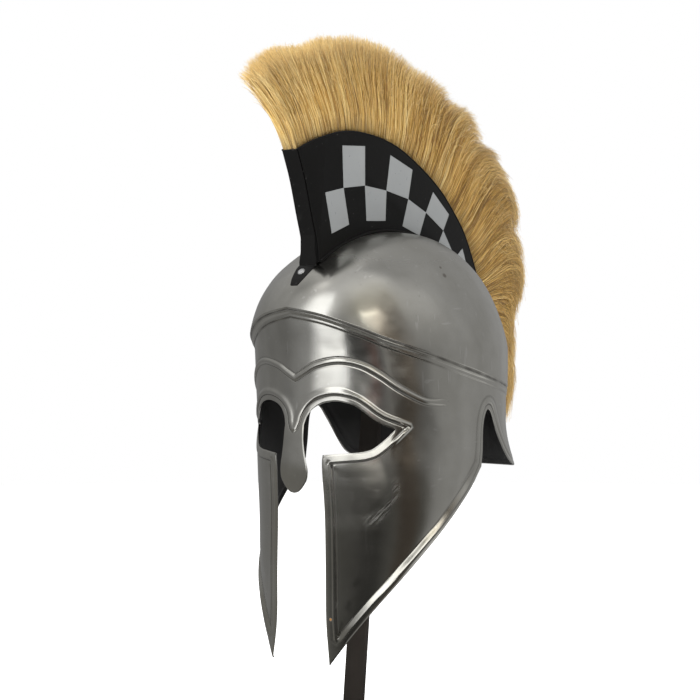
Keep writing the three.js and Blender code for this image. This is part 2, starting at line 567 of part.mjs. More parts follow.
const group = new THREE.Group();
function place(name, shape, look) {
  const mesh = new THREE.Mesh(shape.isBufferGeometry ? shape : geometryOf(shape), look);
  mesh.name = name;
  mesh.position.z = DATUM;
  group.add(mesh);
}

place('helmet_shell', helmetShell(), STEEL);
place('crest_panel_left', crestPanel(1), BLACK);
place('crest_panel_right', crestPanel(-1), BLACK);
place('crest_front_plate', crestFrontPlate(), BLACK);
place('crest_rear_plate', crestRearTab(), BLACK);
place('crest_rivet', crestRivet(), PALE);
place('plume', plume(), HAIR);
place('stand_post', standPost(), POST);
place('stand_cap', standCap(), POST);
place('stand_foot', standFoot(), POST);

export default group;
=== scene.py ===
"""A crested Corinthian-style helmet of polished steel on a plain display stand.

Sizes in the tables are millimetres, heights are from the helmet's datum at brow level, and
the helmet's upright axis is the row's Z axis. Meshes are made in metres in the row frame.
"""
import math

import bmesh
import bpy
import numpy as np
from mathutils import Matrix, Vector, geometry, kdtree


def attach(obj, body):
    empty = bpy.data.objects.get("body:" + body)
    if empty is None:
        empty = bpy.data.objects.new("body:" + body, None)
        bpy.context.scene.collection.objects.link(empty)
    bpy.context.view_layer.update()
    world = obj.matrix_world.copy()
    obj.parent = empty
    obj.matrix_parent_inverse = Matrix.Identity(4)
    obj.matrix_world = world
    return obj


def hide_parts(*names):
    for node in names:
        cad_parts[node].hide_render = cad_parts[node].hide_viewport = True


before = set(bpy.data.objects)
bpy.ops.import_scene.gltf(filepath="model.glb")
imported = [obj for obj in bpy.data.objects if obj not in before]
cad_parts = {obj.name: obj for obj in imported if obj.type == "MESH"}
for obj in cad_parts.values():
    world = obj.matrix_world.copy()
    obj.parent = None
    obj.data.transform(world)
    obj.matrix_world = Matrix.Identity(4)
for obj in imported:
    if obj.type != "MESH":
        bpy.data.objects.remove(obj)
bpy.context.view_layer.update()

MM = 0.001
DATUM = 340.0                       # the helmet's datum above the table
rng = np.random.default_rng(20)

# ---------------------------------------------------------------------------------------
# Sizes of the raised sheet
# ---------------------------------------------------------------------------------------
WALL = 1.4
CROWN = 100.8
DOME = {"side": 100.0, "front": 123.4, "back": 128.7}
ROUNDNESS = {"front": (2.5, 1.57), "side": (1.4, 2.9), "back": (1.4, 2.8)}
SECTIONS = [                        # height, half width, reach to the front, reach to the back
    (-262, 95.0, 106.0, 121.0), (-225, 95.5, 103.3, 121.0), (-180, 96.0, 102.9, 121.0),
    (-135, 96.7, 103.0, 121.0), (-88, 97.4, 105.2, 121.2), (-20, 98.0, 106.5, 121.5),
    (30, 98.0, 113.5, 122.0), (60, 98.0, 117.0, 122.5),
]
OVAL = {"dome": 2.0, "lower": 2.15}     # how square each plan section is
RIDGE_BAND = 5.0
LIP = {"roll": 0.10, "power": 1.25}     # how far the dome's lip bulges, and how low it is undercut
RIDGE_LINE = [                      # degrees round from the front, height
    (0, 32.0), (14, 27.0), (30, 16.5), (42, 7.5), (60, -3.0), (85, -15.5), (127, -30.5),
    (155, -38.0), (180, -41.0),
]
NOSE = {"forward": 5.0, "starts": -35.0, "full": -75.0, "inner": 12.0, "outer": 24.0}
FLARE = {"starts": -62.0, "drop": 33.0, "out": 6.7, "power": 1.6, "from": 95.0, "to": 120.0}

# Outlines on the sheet laid flat: girth from the front centre line on a 100 mm radius, height.
GIRTH = 100.0
HALF_GIRTH = math.pi * GIRTH
NASAL_SIDE = [(0, -115.7), (4.2, -114.7), (8.4, -111), (12.6, -104.5), (13.6, -98.5), (12.8, -92),
              (11.2, -84), (9.8, -73), (9.4, -60)]
EYE_TOP = [(9.4, -60), (12, -52.5), (17.6, -46.3), (26, -42.3), (36.5, -41.1), (47.8, -43.6),
           (55.7, -48.6), (63.2, -54.6), (71.7, -59.7), (81.5, -63.6)]
EYE_FLOOR = [(81.5, -63.6), (75.5, -69.5), (69.3, -75), (62.5, -79.6), (53.4, -81.8), (38.6, -83),
             (24.2, -84.4)]
CHEEK_FRONT = [(24.2, -84.4), (23.5, -95), (24.9, -135), (25.7, -180), (26.2, -220), (29.8, -253.5)]
CHEEK_REAR = [(29.8, -253.5), (45.5, -232), (62, -211.5), (76, -195.5), (97.5, -172.5),
              (120.5, -149.5), (144.5, -126.5), (161, -111), (173, -96.5)]
NOTCH = [(173, -96.5), (175.2, -82), (176.4, -67), (178.4, -57), (182, -51), (186, -49.4),
         (190.5, -52.5), (196, -60.5), (202.5, -70), (209, -80), (217, -91), (225, -96.8)]
GUARD = [(225, -96.8), (236, -98.5), (255, -100.8), (285, -102.3), (HALF_GIRTH, -102.6)]
BROW = [(0, -22.8), (9, -17.8), (20, -12), (37.7, -8.8), (54.8, -12), (69.3, -20), (84.8, -31),
        (102, -39.8), (113, -42.2), (124, -42)]
BEAD = {"inset": 7.25, "half": 2.75, "proud": 1.05}
BEAD_VEE = [(0, -65), (3.2, -57)]
BROW_BEAD = {"half": 2.6, "proud": 1.35}
FRONT_HEM = {"middle": 3.2, "half": 3.8, "proud": 0.45, "crease": 9.2}
FRONT_LINE = {"middle": 7.2, "half": 1.45, "proud": 0.6}
FLOOR_LIP = {"edge": 6.0, "proud": 1.02, "band": 0.25, "fall": 1.5, "fade": 14.0, "crease": 7.3}
REAR_HEM = {"edge": 4.4, "proud": 1.3, "foot": 8.8, "sunk": 1.05, "fade": 9.0}
EDGE_STEP = 2.2                     # between the points along an edge
NASAL_STEP = 2.0
CUT_STEP = 2.4                      # along the hidden cuts at the front and back


# ---------------------------------------------------------------------------------------
# Curves and the sheet's surface
# ---------------------------------------------------------------------------------------
def clamp(t):
    return np.clip(t, 0.0, 1.0)


def ease(t):
    t = clamp(t)
    return t * t * (3 - 2 * t)


def through(rows, column=1):
    """A smooth curve through a table's rows that never overshoots between them."""
    xs = np.array([row[0] for row in rows], float)
    ys = np.array([row[column] for row in rows], float)
    width = np.diff(xs)
    slope = np.diff(ys) / width
    tangent = np.concatenate([slope[:1], slope[1:], slope[-1:]])
    for i in range(1, len(xs) - 1):
        a, b = slope[i - 1], slope[i]
        tangent[i] = 0.0 if a * b <= 0 else 2 * a * b / (a + b)

    def at(x):
        x = np.asarray(x, float)
        i = np.clip(np.searchsorted(xs, x) - 1, 0, len(width) - 1)
        t = clamp((x - xs[i]) / width[i])
        t2, t3 = t * t, t ** 3
        return (ys[i] * (2 * t3 - 3 * t2 + 1) + ys[i + 1] * (3 * t2 - 2 * t3)
                + width[i] * (tangent[i] * (t3 - 2 * t2 + t) + tangent[i + 1] * (t3 - t2)))
    return at


def spline(rows, step):
    """Points about `step` apart on a smooth curve through the rows."""
    p = np.array(rows, float)
    p = np.vstack([2 * p[0] - p[1], p, 2 * p[-1] - p[-2]])
    fine = []
    for a, b, c, d in zip(p[:-3], p[1:-2], p[2:-1], p[3:]):
        t = np.linspace(0, 1, 40, endpoint=False)[:, None]
        fine.append(0.5 * (2 * b + (c - a) * t + (2 * a - 5 * b + 4 * c - d) * t ** 2
                           + (3 * b - a - 3 * c + d) * t ** 3))
    fine = np.vstack(fine + [p[-2][None]])
    return resample(fine, step)


def resample(line, step):
    run = np.concatenate([[0], np.cumsum(np.linalg.norm(np.diff(line, axis=0), axis=1))])
    count = max(2, int(round(run[-1] / step)) + 1)
    at = np.linspace(0, run[-1], count)
    return np.stack([np.interp(at, run, line[:, k]) for k in range(line.shape[1])], 1)


side_at, front_at, back_at = (through(SECTIONS, k) for k in (1, 2, 3))
ridge_at = through(RIDGE_LINE)


def degrees_round(turn):
    return np.degrees(np.abs(np.arctan2(np.sin(turn), np.cos(turn))))


def oval(turn, side, front, back, power):
    ahead = np.cos(turn)
    reach = np.where(ahead > 0, front, back)
    return (np.abs(np.sin(turn) / side) ** power + np.abs(ahead / reach) ** power) ** (-1 / power)


def dome_radius(turn, z):
    up = np.clip(z / CROWN, 0, 1 - 1e-9)
    drawn = {way: DOME[way] * (1 - up ** rise) ** (1 / fall) for way, (rise, fall) in ROUNDNESS.items()}
    return oval(turn, drawn["side"], drawn["front"], drawn["back"], OVAL["dome"])


def lower_radius(turn, z):
    about = degrees_round(turn)
    down = np.clip((FLARE["starts"] - z) / FLARE["drop"], 0, 2)
    behind = ease((about - FLARE["from"]) / (FLARE["to"] - FLARE["from"]))
    flare = FLARE["out"] * down ** FLARE["power"] * behind
    girth = np.radians(about) * GIRTH
    nose = (NOSE["forward"] * ease((NOSE["starts"] - z) / (NOSE["starts"] - NOSE["full"]))
            * ease((NOSE["outer"] - girth) / (NOSE["outer"] - NOSE["inner"])))
    return oval(turn, side_at(z), front_at(z), back_at(z), OVAL["lower"]) + flare + nose


def ridge_height(turn):
    return ridge_at(degrees_round(turn))


def sheet_radius(turn, z):
    """How far the sheet's plain surface is from the upright axis, with the dome's lip over the face."""
    above = clamp((z - ridge_height(turn)) / RIDGE_BAND + 0.5)
    above = (above + LIP["roll"] * np.sin(np.pi * above) ** 2) ** LIP["power"]
    low = lower_radius(turn, z)
    return low + above * (dome_radius(turn, z) - low)


def sheet_point(turn, z):
    radius = sheet_radius(turn, z)
    return np.stack([radius * np.sin(turn), -radius * np.cos(turn), z + 0 * radius], -1)


def normal_of(point, turn, z):
    """Outward unit normals of a surface point(turn, z), by small differences."""
    dt = 0.004
    dz = np.minimum(0.15, (CROWN - z) * 0.45)
    along = point(turn + dt, z) - point(turn - dt, z)
    up = point(turn, z + dz) - point(turn, z - dz)
    n = np.cross(along, up)
    length = np.linalg.norm(n, axis=-1, keepdims=True)
    n = np.where(length > 1e-12, n / np.maximum(length, 1e-12), [0.0, 0.0, 1.0])
    n[z > CROWN - 0.02] = (0.0, 0.0, 1.0)
    return n


def to_row(points):
    """Helmet millimetres to row metres."""
    return (np.asarray(points, float) + (0, 0, DATUM)) * MM


# ---------------------------------------------------------------------------------------
# The sheet laid flat: its outline, its beads and its relief
# ---------------------------------------------------------------------------------------
def turned(vector, angle):
    c, s = math.cos(angle), math.sin(angle)
    return np.array([vector[0] * c - vector[1] * s, vector[0] * s + vector[1] * c])


def away(points, path):
    """How far points are from a polyline, and how far along it, 0 to 1, the nearest place is."""
    points = np.atleast_2d(np.asarray(points, float))
    start, leg = path[:-1], np.diff(path, axis=0)
    square = np.maximum((leg ** 2).sum(1), 1e-12)
    run = np.concatenate([[0], np.cumsum(np.sqrt(square))])
    far, place = [], []
    for part in np.array_split(points, max(1, len(points) * len(leg) // 4000000 + 1)):
        gap = part[:, None] - start[None]
        t = clamp((gap * leg).sum(-1) / square)
        distance = ((gap - t[..., None] * leg) ** 2).sum(-1)
        best = distance.argmin(1)
        rows = np.arange(len(part))
        far.append(np.sqrt(distance[rows, best]))
        place.append((run[best] + t[rows, best] * (run[best + 1] - run[best])) / run[-1])
    return np.concatenate(far), np.concatenate(place)


def inside(points, loop):
    """Which points lie within a closed loop."""
    x, y = points[:, 0][:, None], points[:, 1][:, None]
    a, b = loop, np.roll(loop, -1, 0)
    crosses = (a[:, 1] > y) != (b[:, 1] > y)
    rise = np.where(b[:, 1] == a[:, 1], 1e-12, b[:, 1] - a[:, 1])
    return (crosses & (x < (b[:, 0] - a[:, 0]) * (y - a[:, 1]) / rise + a[:, 0])).sum(1) % 2 == 1


def joined(*runs):
    """Runs that share their end points, as one line."""
    return np.vstack([runs[0], *(run[1:] for run in runs[1:])])


def inset_run(edge, inset):
    """The line a set distance to the left of an edge, pointed at its sharp corners."""
    pointed, fanned, fan_step = -1.2, -0.35, 0.35           # bends in radians
    leg = np.diff(edge, axis=0)
    leg /= np.linalg.norm(leg, axis=1)[:, None]
    left = np.stack([-leg[:, 1], leg[:, 0]], 1)
    found = []
    for i, p in enumerate(edge):
        before, after = left[max(0, i - 1)], left[min(i, len(left) - 1)]
        bend = math.atan2(before[0] * after[1] - before[1] * after[0], before @ after)
        if bend < pointed:
            found.append(p + turned(before, bend / 2) * min(inset / math.cos(bend / 2), inset * 2))
        elif bend < fanned:
            fan = math.ceil(-bend / fan_step)
            found += [p + turned(before, bend * k / fan) * inset for k in range(fan + 1)]
        else:
            middle = before + after
            found.append(p + middle / np.linalg.norm(middle) * inset)
    found = np.array(found)
    gap, _ = away(found, edge)
    return found[gap > inset - 0.03]


def side_step(path, step):
    """A run of points a set distance to one side of a path, as pieces that stay clear of it."""
    ahead = np.gradient(path, axis=0)
    ahead /= np.maximum(np.linalg.norm(ahead, axis=1), 1e-9)[:, None]
    moved = path + np.stack([-ahead[:, 1], ahead[:, 0]], 1) * step
    return moved, away(moved, path)[0] > abs(step) - 0.07


EYE_RUN, FLOOR_RUN, FRONT_RUN, REAR_RUN, NOTCH_RUN, GUARD_RUN, BROW_RUN = (
    spline(rows, EDGE_STEP) for rows in (EYE_TOP, EYE_FLOOR, CHEEK_FRONT, CHEEK_REAR, NOTCH, GUARD, BROW))
EDGE = joined(EYE_RUN, FLOOR_RUN, FRONT_RUN, REAR_RUN, NOTCH_RUN, GUARD_RUN)
NASAL = spline(NASAL_SIDE, NASAL_STEP)
EDGE_AND_NASAL = joined(NASAL, EDGE)
RIM = inset_run(EDGE, BEAD["inset"])
RIM = RIM[RIM[:, 0] > 3.6]          # the rest is the vee over the nose piece
RIM = resample(np.vstack([BEAD_VEE, RIM]), EDGE_STEP)
UNEVEN = [(62, 0.16, 5), (31, 0.045, 6), (14, 0.010, 7)]    # wave length, height, how many
WAVES = [(rng.normal(size=3), rng.uniform(0, 6.28), length, amount)
         for length, amount, count in UNEVEN for _ in range(count)]


def hammering(points):
    """The soft unevenness that hand work leaves in the sheet."""
    total = np.zeros(len(points))
    for way, phase, length, amount in WAVES:
        total += amount * np.sin(points @ (way / np.linalg.norm(way)) * 2 * np.pi / length + phase)
    return total * (1 - 0.6 * ease((-80 - points[:, 2]) / 20))


def arch(distance, half):
    """A rounded bead's section, 1 at its crown."""
    return np.maximum(0.0, 1 - (distance / half) ** 2) ** 0.8


def groove(distance, middle, width):
    """A soft line's section, 1 at its middle."""
    return np.exp(-((distance - middle) / width) ** 2)


def hem_relief(spots, floor, front, rear):
    """The three borders of the cheek: how much each counts, how proud it stands and its creases."""
    girth, z = spots.T
    cheek = ((girth > 19) & (z < -55)) * ease((z + 243) / 14)
    by_floor = (cheek * ease((EYE_FLOOR[0][1] - z) / 4) * ease((front - floor) / 3 + 0.5)
                * (1 - ease((girth - 77) / 7)) * ease((34 - floor) / 8))
    by_rear = cheek * ease((np.minimum(front, floor) - rear) / 3 + 0.5) * (1 - ease((girth - 150) / 16))
    by_front = (cheek * (1 - by_floor) * (1 - by_rear) * ease((17 - front) / 3)
                * ease((floor - front) / 3 + 0.5))
    # a flat hem with a thin line inside it along the cheek's front
    flat, line = FRONT_HEM, FRONT_LINE
    rise = by_front * (flat["proud"] * arch(front - flat["middle"], flat["half"])
                       + line["proud"] * arch(front - line["middle"], line["half"])
                       - 0.25 * groove(front, flat["crease"], 0.55))
    # a rolled lip over a narrow band along the eye's floor
    lip = FLOOR_LIP
    fallen = lip["proud"] - (lip["proud"] - lip["band"]) * ease((floor - lip["edge"]) / lip["fall"])
    roll = np.where(floor < lip["edge"], lip["proud"] / lip["edge"] * floor, fallen)
    band = lip["band"] * (1 - ease((floor - 8) / lip["fade"]))
    rise += by_floor * np.where(floor > lip["edge"] + lip["fall"], band, roll)
    # a turned-out hem with a slope inside it along the cheek's rear
    hem = REAR_HEM
    slope = clamp((rear - hem["edge"]) / hem["edge"])
    inner = hem["proud"] - (hem["proud"] + hem["sunk"]) * (0.8 * slope + 0.2 * ease(slope))
    outer = hem["proud"] - hem["proud"] * ((hem["edge"] - rear) / hem["edge"]) ** 2
    sunk = -hem["sunk"] * np.exp(-(rear - hem["foot"]) / hem["fade"]) * (1 - groove(front, 0, 16))
    rise += by_rear * np.where(rear > hem["foot"], sunk, np.where(rear < hem["edge"], outer, inner))
    # the creases' mask, which the steel darkens with painted shade
    creases = (by_front * groove(front, flat["crease"], 0.6), by_floor * groove(floor, lip["crease"], 0.6),
               by_rear * 0.7 * groove(rear, 4.0, 0.5), by_rear * 0.5 * groove(rear, 9.0, 0.5))
    return np.maximum(by_front, np.maximum(by_rear, by_floor)), rise, np.maximum.reduce(creases)


def relief(girth, z):
    """How proud the sheet stands of its plain surface, and how deep in a crease each place is, which sets the
    painted shade in the creases.
    """
    rise, crease = np.zeros(len(z)), np.zeros(len(z))
    near = np.flatnonzero(z < ridge_height(girth / GIRTH) - 1.0)
    if len(near):
        rise[near], crease[near] = face_relief(np.stack([girth, z], 1)[near])
    step = z - ridge_height(girth / GIRTH)
    rise += 0.6 * ease((step + 6.0) / 1.6) * ease((0.5 - step) / 1.0)
    rise -= 0.35 * groove(step, 1.0, 0.7)
    # dark lines above and under the ridge's lip, broken along their run: painted shade under the lip
    broken = 0.7 + 0.3 * np.sin(girth * 0.31 + 1.3) * np.sin(girth * 0.117)
    upper = groove(step, 0.8, 0.7 + 0.5 * ease((girth - 25) / 20))
    lower = (1 - 0.7 * ease((girth - 95) / 40)) * groove(step, -5.3, 0.85)
    return rise, np.maximum(crease, broken * np.maximum(upper, lower))


def face_relief(spots):
    """The relief of places on the laid-flat sheet under the ridge."""
    girth, z = spots.T
    rim, edge = away(spots, RIM)[0], away(spots, EDGE_AND_NASAL)[0]
    brow, along = away(spots, BROW_RUN)
    floor, front, rear = (away(spots, run)[0] for run in (FLOOR_RUN, FRONT_RUN, REAR_RUN))
    rear = rear + clamp(rear / 3) * (0.22 * np.sin(z / 8.1) + 0.12 * np.sin(z / 3.7 + 2))
    hemmed, rise, crease = hem_relief(spots, floor, front, rear)
    outward = edge < BEAD["inset"] - 0.2           # the side of the bead towards the sheet's edge
    # no bead runs down the nose piece below the vee, and it fades at the cheek's tip and behind
    kept = 1 - ease((BEAD_VEE[0][1] - z) / 2.0) * (girth < 9)
    kept = kept * (1 - ease((-230 - z) / 10))
    kept = kept * (1 - 0.55 * ease((girth - 186) / 16) - 0.30 * ease((girth - 222) / 16))
    flank = 2.7 - 1.25 * ease((girth - 40) / 14) * (1 - ease((girth - 120) / 20))
    bead = np.where(outward, arch(rim, BEAD["half"]), np.exp(-(rim / flank) ** 2 * 1.1))
    rise += (1 - hemmed) * kept * (BEAD["proud"] * bead - 0.20 * groove(rim, 3.0, 0.5) * outward)
    size = np.minimum(1.0, 0.2 + (1 - along) * 5)           # the brow's bead thins to its end
    rise += size * (BROW_BEAD["proud"] * arch(brow, BROW_BEAD["half"]) - 0.14 * groove(brow, 2.95, 0.55))
    rise -= 0.55 * (1 - np.sqrt(np.maximum(0, 1 - (1 - clamp(edge / 1.1)) ** 2)))    # the rounded edge
    inner = 0.42 * groove(rim, 3.7, 1.0) * (1 - outward) * ease((girth - 140) / 20)
    # the creases' mask, which the steel darkens with painted shade
    creases = (crease, (1 - hemmed) * groove(rim, 2.9, 0.55) * kept * outward,
               0.55 * size * groove(brow, 2.8, 0.5), inner * np.minimum(1, kept * 1.6))
    return rise, np.maximum.reduce(creases)


def raised(turn, z):
    """Points of the finished outer face."""
    girth = np.abs(turn) * GIRTH
    plain = sheet_point(turn, z)
    out = normal_of(sheet_point, turn, z)
    rise = relief(girth, z)[0] + hammering(plain)
    return plain + out * rise[:, None]


TOP_GAP = 9.6                       # the cut sheet below ends this far under the ridge
COLUMNS = 120
column_girth = np.linspace(0, HALF_GIRTH, COLUMNS + 1)
top_line = np.stack([column_girth, ridge_height(column_girth / GIRTH) - TOP_GAP], 1)
back_line = resample(np.array([GUARD[-1], top_line[-1]]), CUT_STEP)
front_line = resample(np.array([top_line[0], NASAL_SIDE[0]]), CUT_STEP)
OUTLINE = joined(NASAL, EDGE, back_line, top_line[::-1], front_line)[:-1]


EDGE_INSETS = (0.35, 0.8, 1.5)      # lines of points along the edge
BEAD_LINES = (0.4, 1.1, 1.8, 2.4, 2.9, 3.4, 4.2, 5.4)      # and to either side of each bead
FIELD_STEP = 3.6                    # between points on the plain sheet
FIELD_CLEAR = 2.2                   # they keep this far from the lines


def cut_sheet():
    """Flat points and triangles of half the sheet below the ridge, fine along its edges and beads."""
    points = [OUTLINE]
    links = [(i, (i + 1) % len(OUTLINE)) for i in range(len(OUTLINE))]
    taken = len(OUTLINE)
    closed_outline = np.vstack([OUTLINE, OUTLINE[:1]])

    def lay(run, keep):
        nonlocal taken
        run = run.copy()
        snapped = np.abs(run[:, 0]) < 0.5
        run[snapped, 0] = 0.0
        keep = keep & (run[:, 0] >= 0) & (run[:, 0] < HALF_GIRTH - 0.4)
        keep &= run[:, 1] < np.interp(run[:, 0], top_line[:, 0], top_line[:, 1]) - 0.4
        keep &= snapped | inside(run, OUTLINE)
        keep &= snapped | (away(run, closed_outline)[0] > 0.3)
        place = np.full(len(run), -1)
        place[keep] = taken + np.arange(keep.sum())
        points.append(run[keep])
        taken += int(keep.sum())
        links.extend((int(a), int(b)) for a, b in zip(place[:-1], place[1:]) if a >= 0 and b >= 0)

    for inset in EDGE_INSETS:
        lay(*side_step(EDGE_AND_NASAL, inset))
    for path in (RIM, BROW_RUN):
        doubled = np.vstack([path[1:4][::-1] * (-1, 1), path])      # runs on over the centre line
        for step in [-line for line in BEAD_LINES[::-1]] + [*BEAD_LINES]:
            lay(*side_step(doubled, step))
    used = np.vstack(points)
    tree = tree_of([(g, z, 0) for g, z in used])
    rows = []
    for k, z in enumerate(np.arange(SECTIONS[0][0], 30, FIELD_STEP * 0.866)):
        g = np.arange(0.5 * FIELD_STEP * (k % 2), HALF_GIRTH, FIELD_STEP)
        rows.append(np.stack([g, np.full(len(g), z)], 1))
    grid = np.vstack(rows)
    grid = grid[inside(grid, OUTLINE)]
    clear = np.array([tree.find((g, z, 0))[2] > FIELD_CLEAR for g, z in grid])
    flat = np.vstack([used, grid[clear]])
    verts, _, faces, *_ = geometry.delaunay_2d_cdt([Vector(p) for p in flat], links, [], 1, 1e-4)
    return np.array([tuple(v) for v in verts]), [tuple(face) for face in faces]


def tree_of(places):
    tree = kdtree.KDTree(len(places))
    for i, place in enumerate(places):
        tree.insert(place, i)
    tree.balance()
    return tree


RIDGE_ROWS = [                      # heights from the ridge line, close together where it is crisp
    -TOP_GAP, -8.4, -7.4, -6.8, -6.3, -5.8, -5.4, -5.0, -4.6, -4.1, -3.7, -3.1, -2.5, -1.9, -1.4, -0.9,
    -0.4, 0.0, 0.3, 0.6, 0.85, 1.1, 1.4, 1.8, 2.4, 3.2, 4.5, 6.5,
]
DOME_ROWS = 34
DOME_CROWDING = 2.1                 # the rows close up towards the crown


def dome_row_height(row, ridge):
    if row < len(RIDGE_ROWS):
        return ridge + RIDGE_ROWS[row]
    start = ridge + RIDGE_ROWS[-1]
    share = (row - len(RIDGE_ROWS) + 1) / DOME_ROWS
    return start + (CROWN - start) * (1 - (1 - share) ** DOME_CROWDING)


def helmet_shell(steel, black):
    """The raised steel sheet: cut, beaded, domed, mirrored and given its thickness."""
    bm = bmesh.new()
    girth_of = bm.verts.layers.float.new("girth")
    height_of = bm.verts.layers.float.new("height")
    flat, faces = cut_sheet()
    laid = [bm.verts.new((g, 0, z)) for g, z in flat]
    for face in faces:
        bm.faces.new([laid[i] for i in face])
    last = len(RIDGE_ROWS) + DOME_ROWS - 1
    dome = bmesh.ops.create_grid(bm, x_segments=COLUMNS, y_segments=last, size=1)["verts"]
    for v in dome:
        g = column_girth[round((v.co.x + 1) / 2 * COLUMNS)]
        v.co = (g, 0, dome_row_height(round((v.co.y + 1) / 2 * last), float(ridge_height(g / GIRTH))))
    girth = np.array([v.co.x for v in bm.verts])
    z = np.minimum(np.array([v.co.z for v in bm.verts]), CROWN - 1e-5)
    placed = raised(girth / GIRTH, z)
    placed[(girth < 1e-4) | (girth > HALF_GIRTH - 1e-4), 0] = 0.0
    for v, g, h, p in zip(bm.verts, girth, z, to_row(placed)):
        v[girth_of], v[height_of] = g, h
        v.co = p
    bmesh.ops.remove_doubles(bm, verts=bm.verts, dist=1e-5)
    bmesh.ops.mirror(bm, geom=bm.verts[:] + bm.edges[:] + bm.faces[:], merge_dist=1e-6, axis="X")
    bmesh.ops.dissolve_degenerate(bm, dist=1e-6, edges=bm.edges)
    bmesh.ops.recalc_face_normals(bm, faces=bm.faces)
    outer = len(bm.verts)
    bmesh.ops.solidify(bm, geom=bm.faces[:], thickness=WALL * MM)
    bm.verts.index_update()
    for face in bm.faces:
        face.smooth = True
        face.material_index = int(all(v.index >= outer for v in face.verts))
    made = piece_from(bm, "steel_helmet", steel, black)
    shade_sheet(made.data, outer)
    return made


# an arc of rubbing on the left cheek
SCUFF = {"girth": 51, "height": -107, "reach": 31, "half": 3.4, "from": 54, "below": -98, "fade": (10, 16)}


def read(items, key, width=1, kind=float):
    values = np.zeros(len(items) * width, kind)
    items.foreach_get(key, values)
    return values.reshape(-1, width) if width > 1 else values


def shade_sheet(mesh, outer):
    """Exact normals for both faces of the sheet, so that its polish shows no facets."""
    where = read(mesh.vertices, "co", 3)
    girth, height = (read(mesh.attributes[name].data, "value") for name in ("girth", "height"))
    exact = normal_of(raised, girth[:outer] / GIRTH, height[:outer])
    exact[girth[:outer] < 1e-4, 0] = 0.0
    exact[where[:outer, 0] < 0, 0] *= -1
    # the inner face takes the normal of the outer place it lies behind
    behind = tree_of(where[:outer] - exact * WALL * MM)
    normal = np.vstack([exact, [-exact[behind.find(place)[1]] for place in where[outer:]]])
    normal /= np.maximum(np.linalg.norm(normal, axis=1), 1e-9)[:, None]
    # the narrow faces of the cut edge, between the two, stay flat
    corner = read(mesh.loops, "vertex_index", kind=int)
    flat = read(mesh.polygons, "normal", 3)
    size = read(mesh.polygons, "loop_total", kind=int)
    owner = np.repeat(np.arange(len(size)), size)
    back = np.bincount(owner, corner >= outer)
    rim = (back > 0) & (back < size)
    given = np.where(rim[owner, None], flat[owner], normal[corner])
    mesh.normals_split_custom_set(given.tolist())
    # the crease mask, which the steel uses to paint shade into its creases
    mark(mesh, "crease", relief(girth, height)[1])
    ring = np.hypot(girth - SCUFF["girth"], height - SCUFF["height"]) - SCUFF["reach"]
    mark(mesh, "scuff", groove(ring, 0, SCUFF["half"]) * ease((girth - SCUFF["from"]) / SCUFF["fade"][0])
         * ease((SCUFF["below"] - height) / SCUFF["fade"][1]) * (where[:, 0] > 0))
    for name in ("girth", "height"):
        mesh.attributes.remove(mesh.attributes[name])


def mark(mesh, name, values):
    layer = mesh.attributes.new(name, "FLOAT", "POINT")
    layer.data.foreach_set("value", np.asarray(values, np.float32))


def add_piece(name, mesh, *materials):
    for material in materials:
        mesh.materials.append(material)
    piece = bpy.data.objects.new(name, mesh)
    bpy.context.scene.collection.objects.link(piece)
    return piece


def piece_from(bm, name, *materials):
    """Turns a finished bmesh into a named piece."""
    mesh = bpy.data.meshes.new(name + "_mesh")
    bm.to_mesh(mesh)
    bm.free()
    return add_piece(name, mesh, *materials)


# ---------------------------------------------------------------------------------------
# Materials
# ---------------------------------------------------------------------------------------
class Value:
    """A shader number: arithmetic on it adds Math nodes."""

    def __init__(self, paint, socket):
        self.paint, self.socket = paint, socket

    def _math(self, operation, *terms):
        made = self.paint.node("ShaderNodeMath", {"operation": operation}, *terms)
        return Value(self.paint, made.outputs[0])

    def __add__(self, other):
        return self._math("ADD", self, other)

    def __radd__(self, other):
        return self._math("ADD", other, self)

    def __sub__(self, other):
        return self._math("SUBTRACT", self, other)

    def __rsub__(self, other):
        return self._math("SUBTRACT", other, self)

    def __mul__(self, other):
        return self._math("MULTIPLY", self, other)

    def __rmul__(self, other):
        return self._math("MULTIPLY", other, self)

    def __pow__(self, other):
        return self._math("POWER", self, other)

    def least(self, other):
        return self._math("MINIMUM", self, other)

    def most(self, other):
        return self._math("MAXIMUM", self, other)

    def arc(self, operation, *other):
        return self._math(operation, self, *other)

    def hump(self, middle, width):
        """A smooth hill, 1 at its middle."""
        return self._math("EXPONENT", ((self - middle) * (1 / width)) ** 2 * -1)


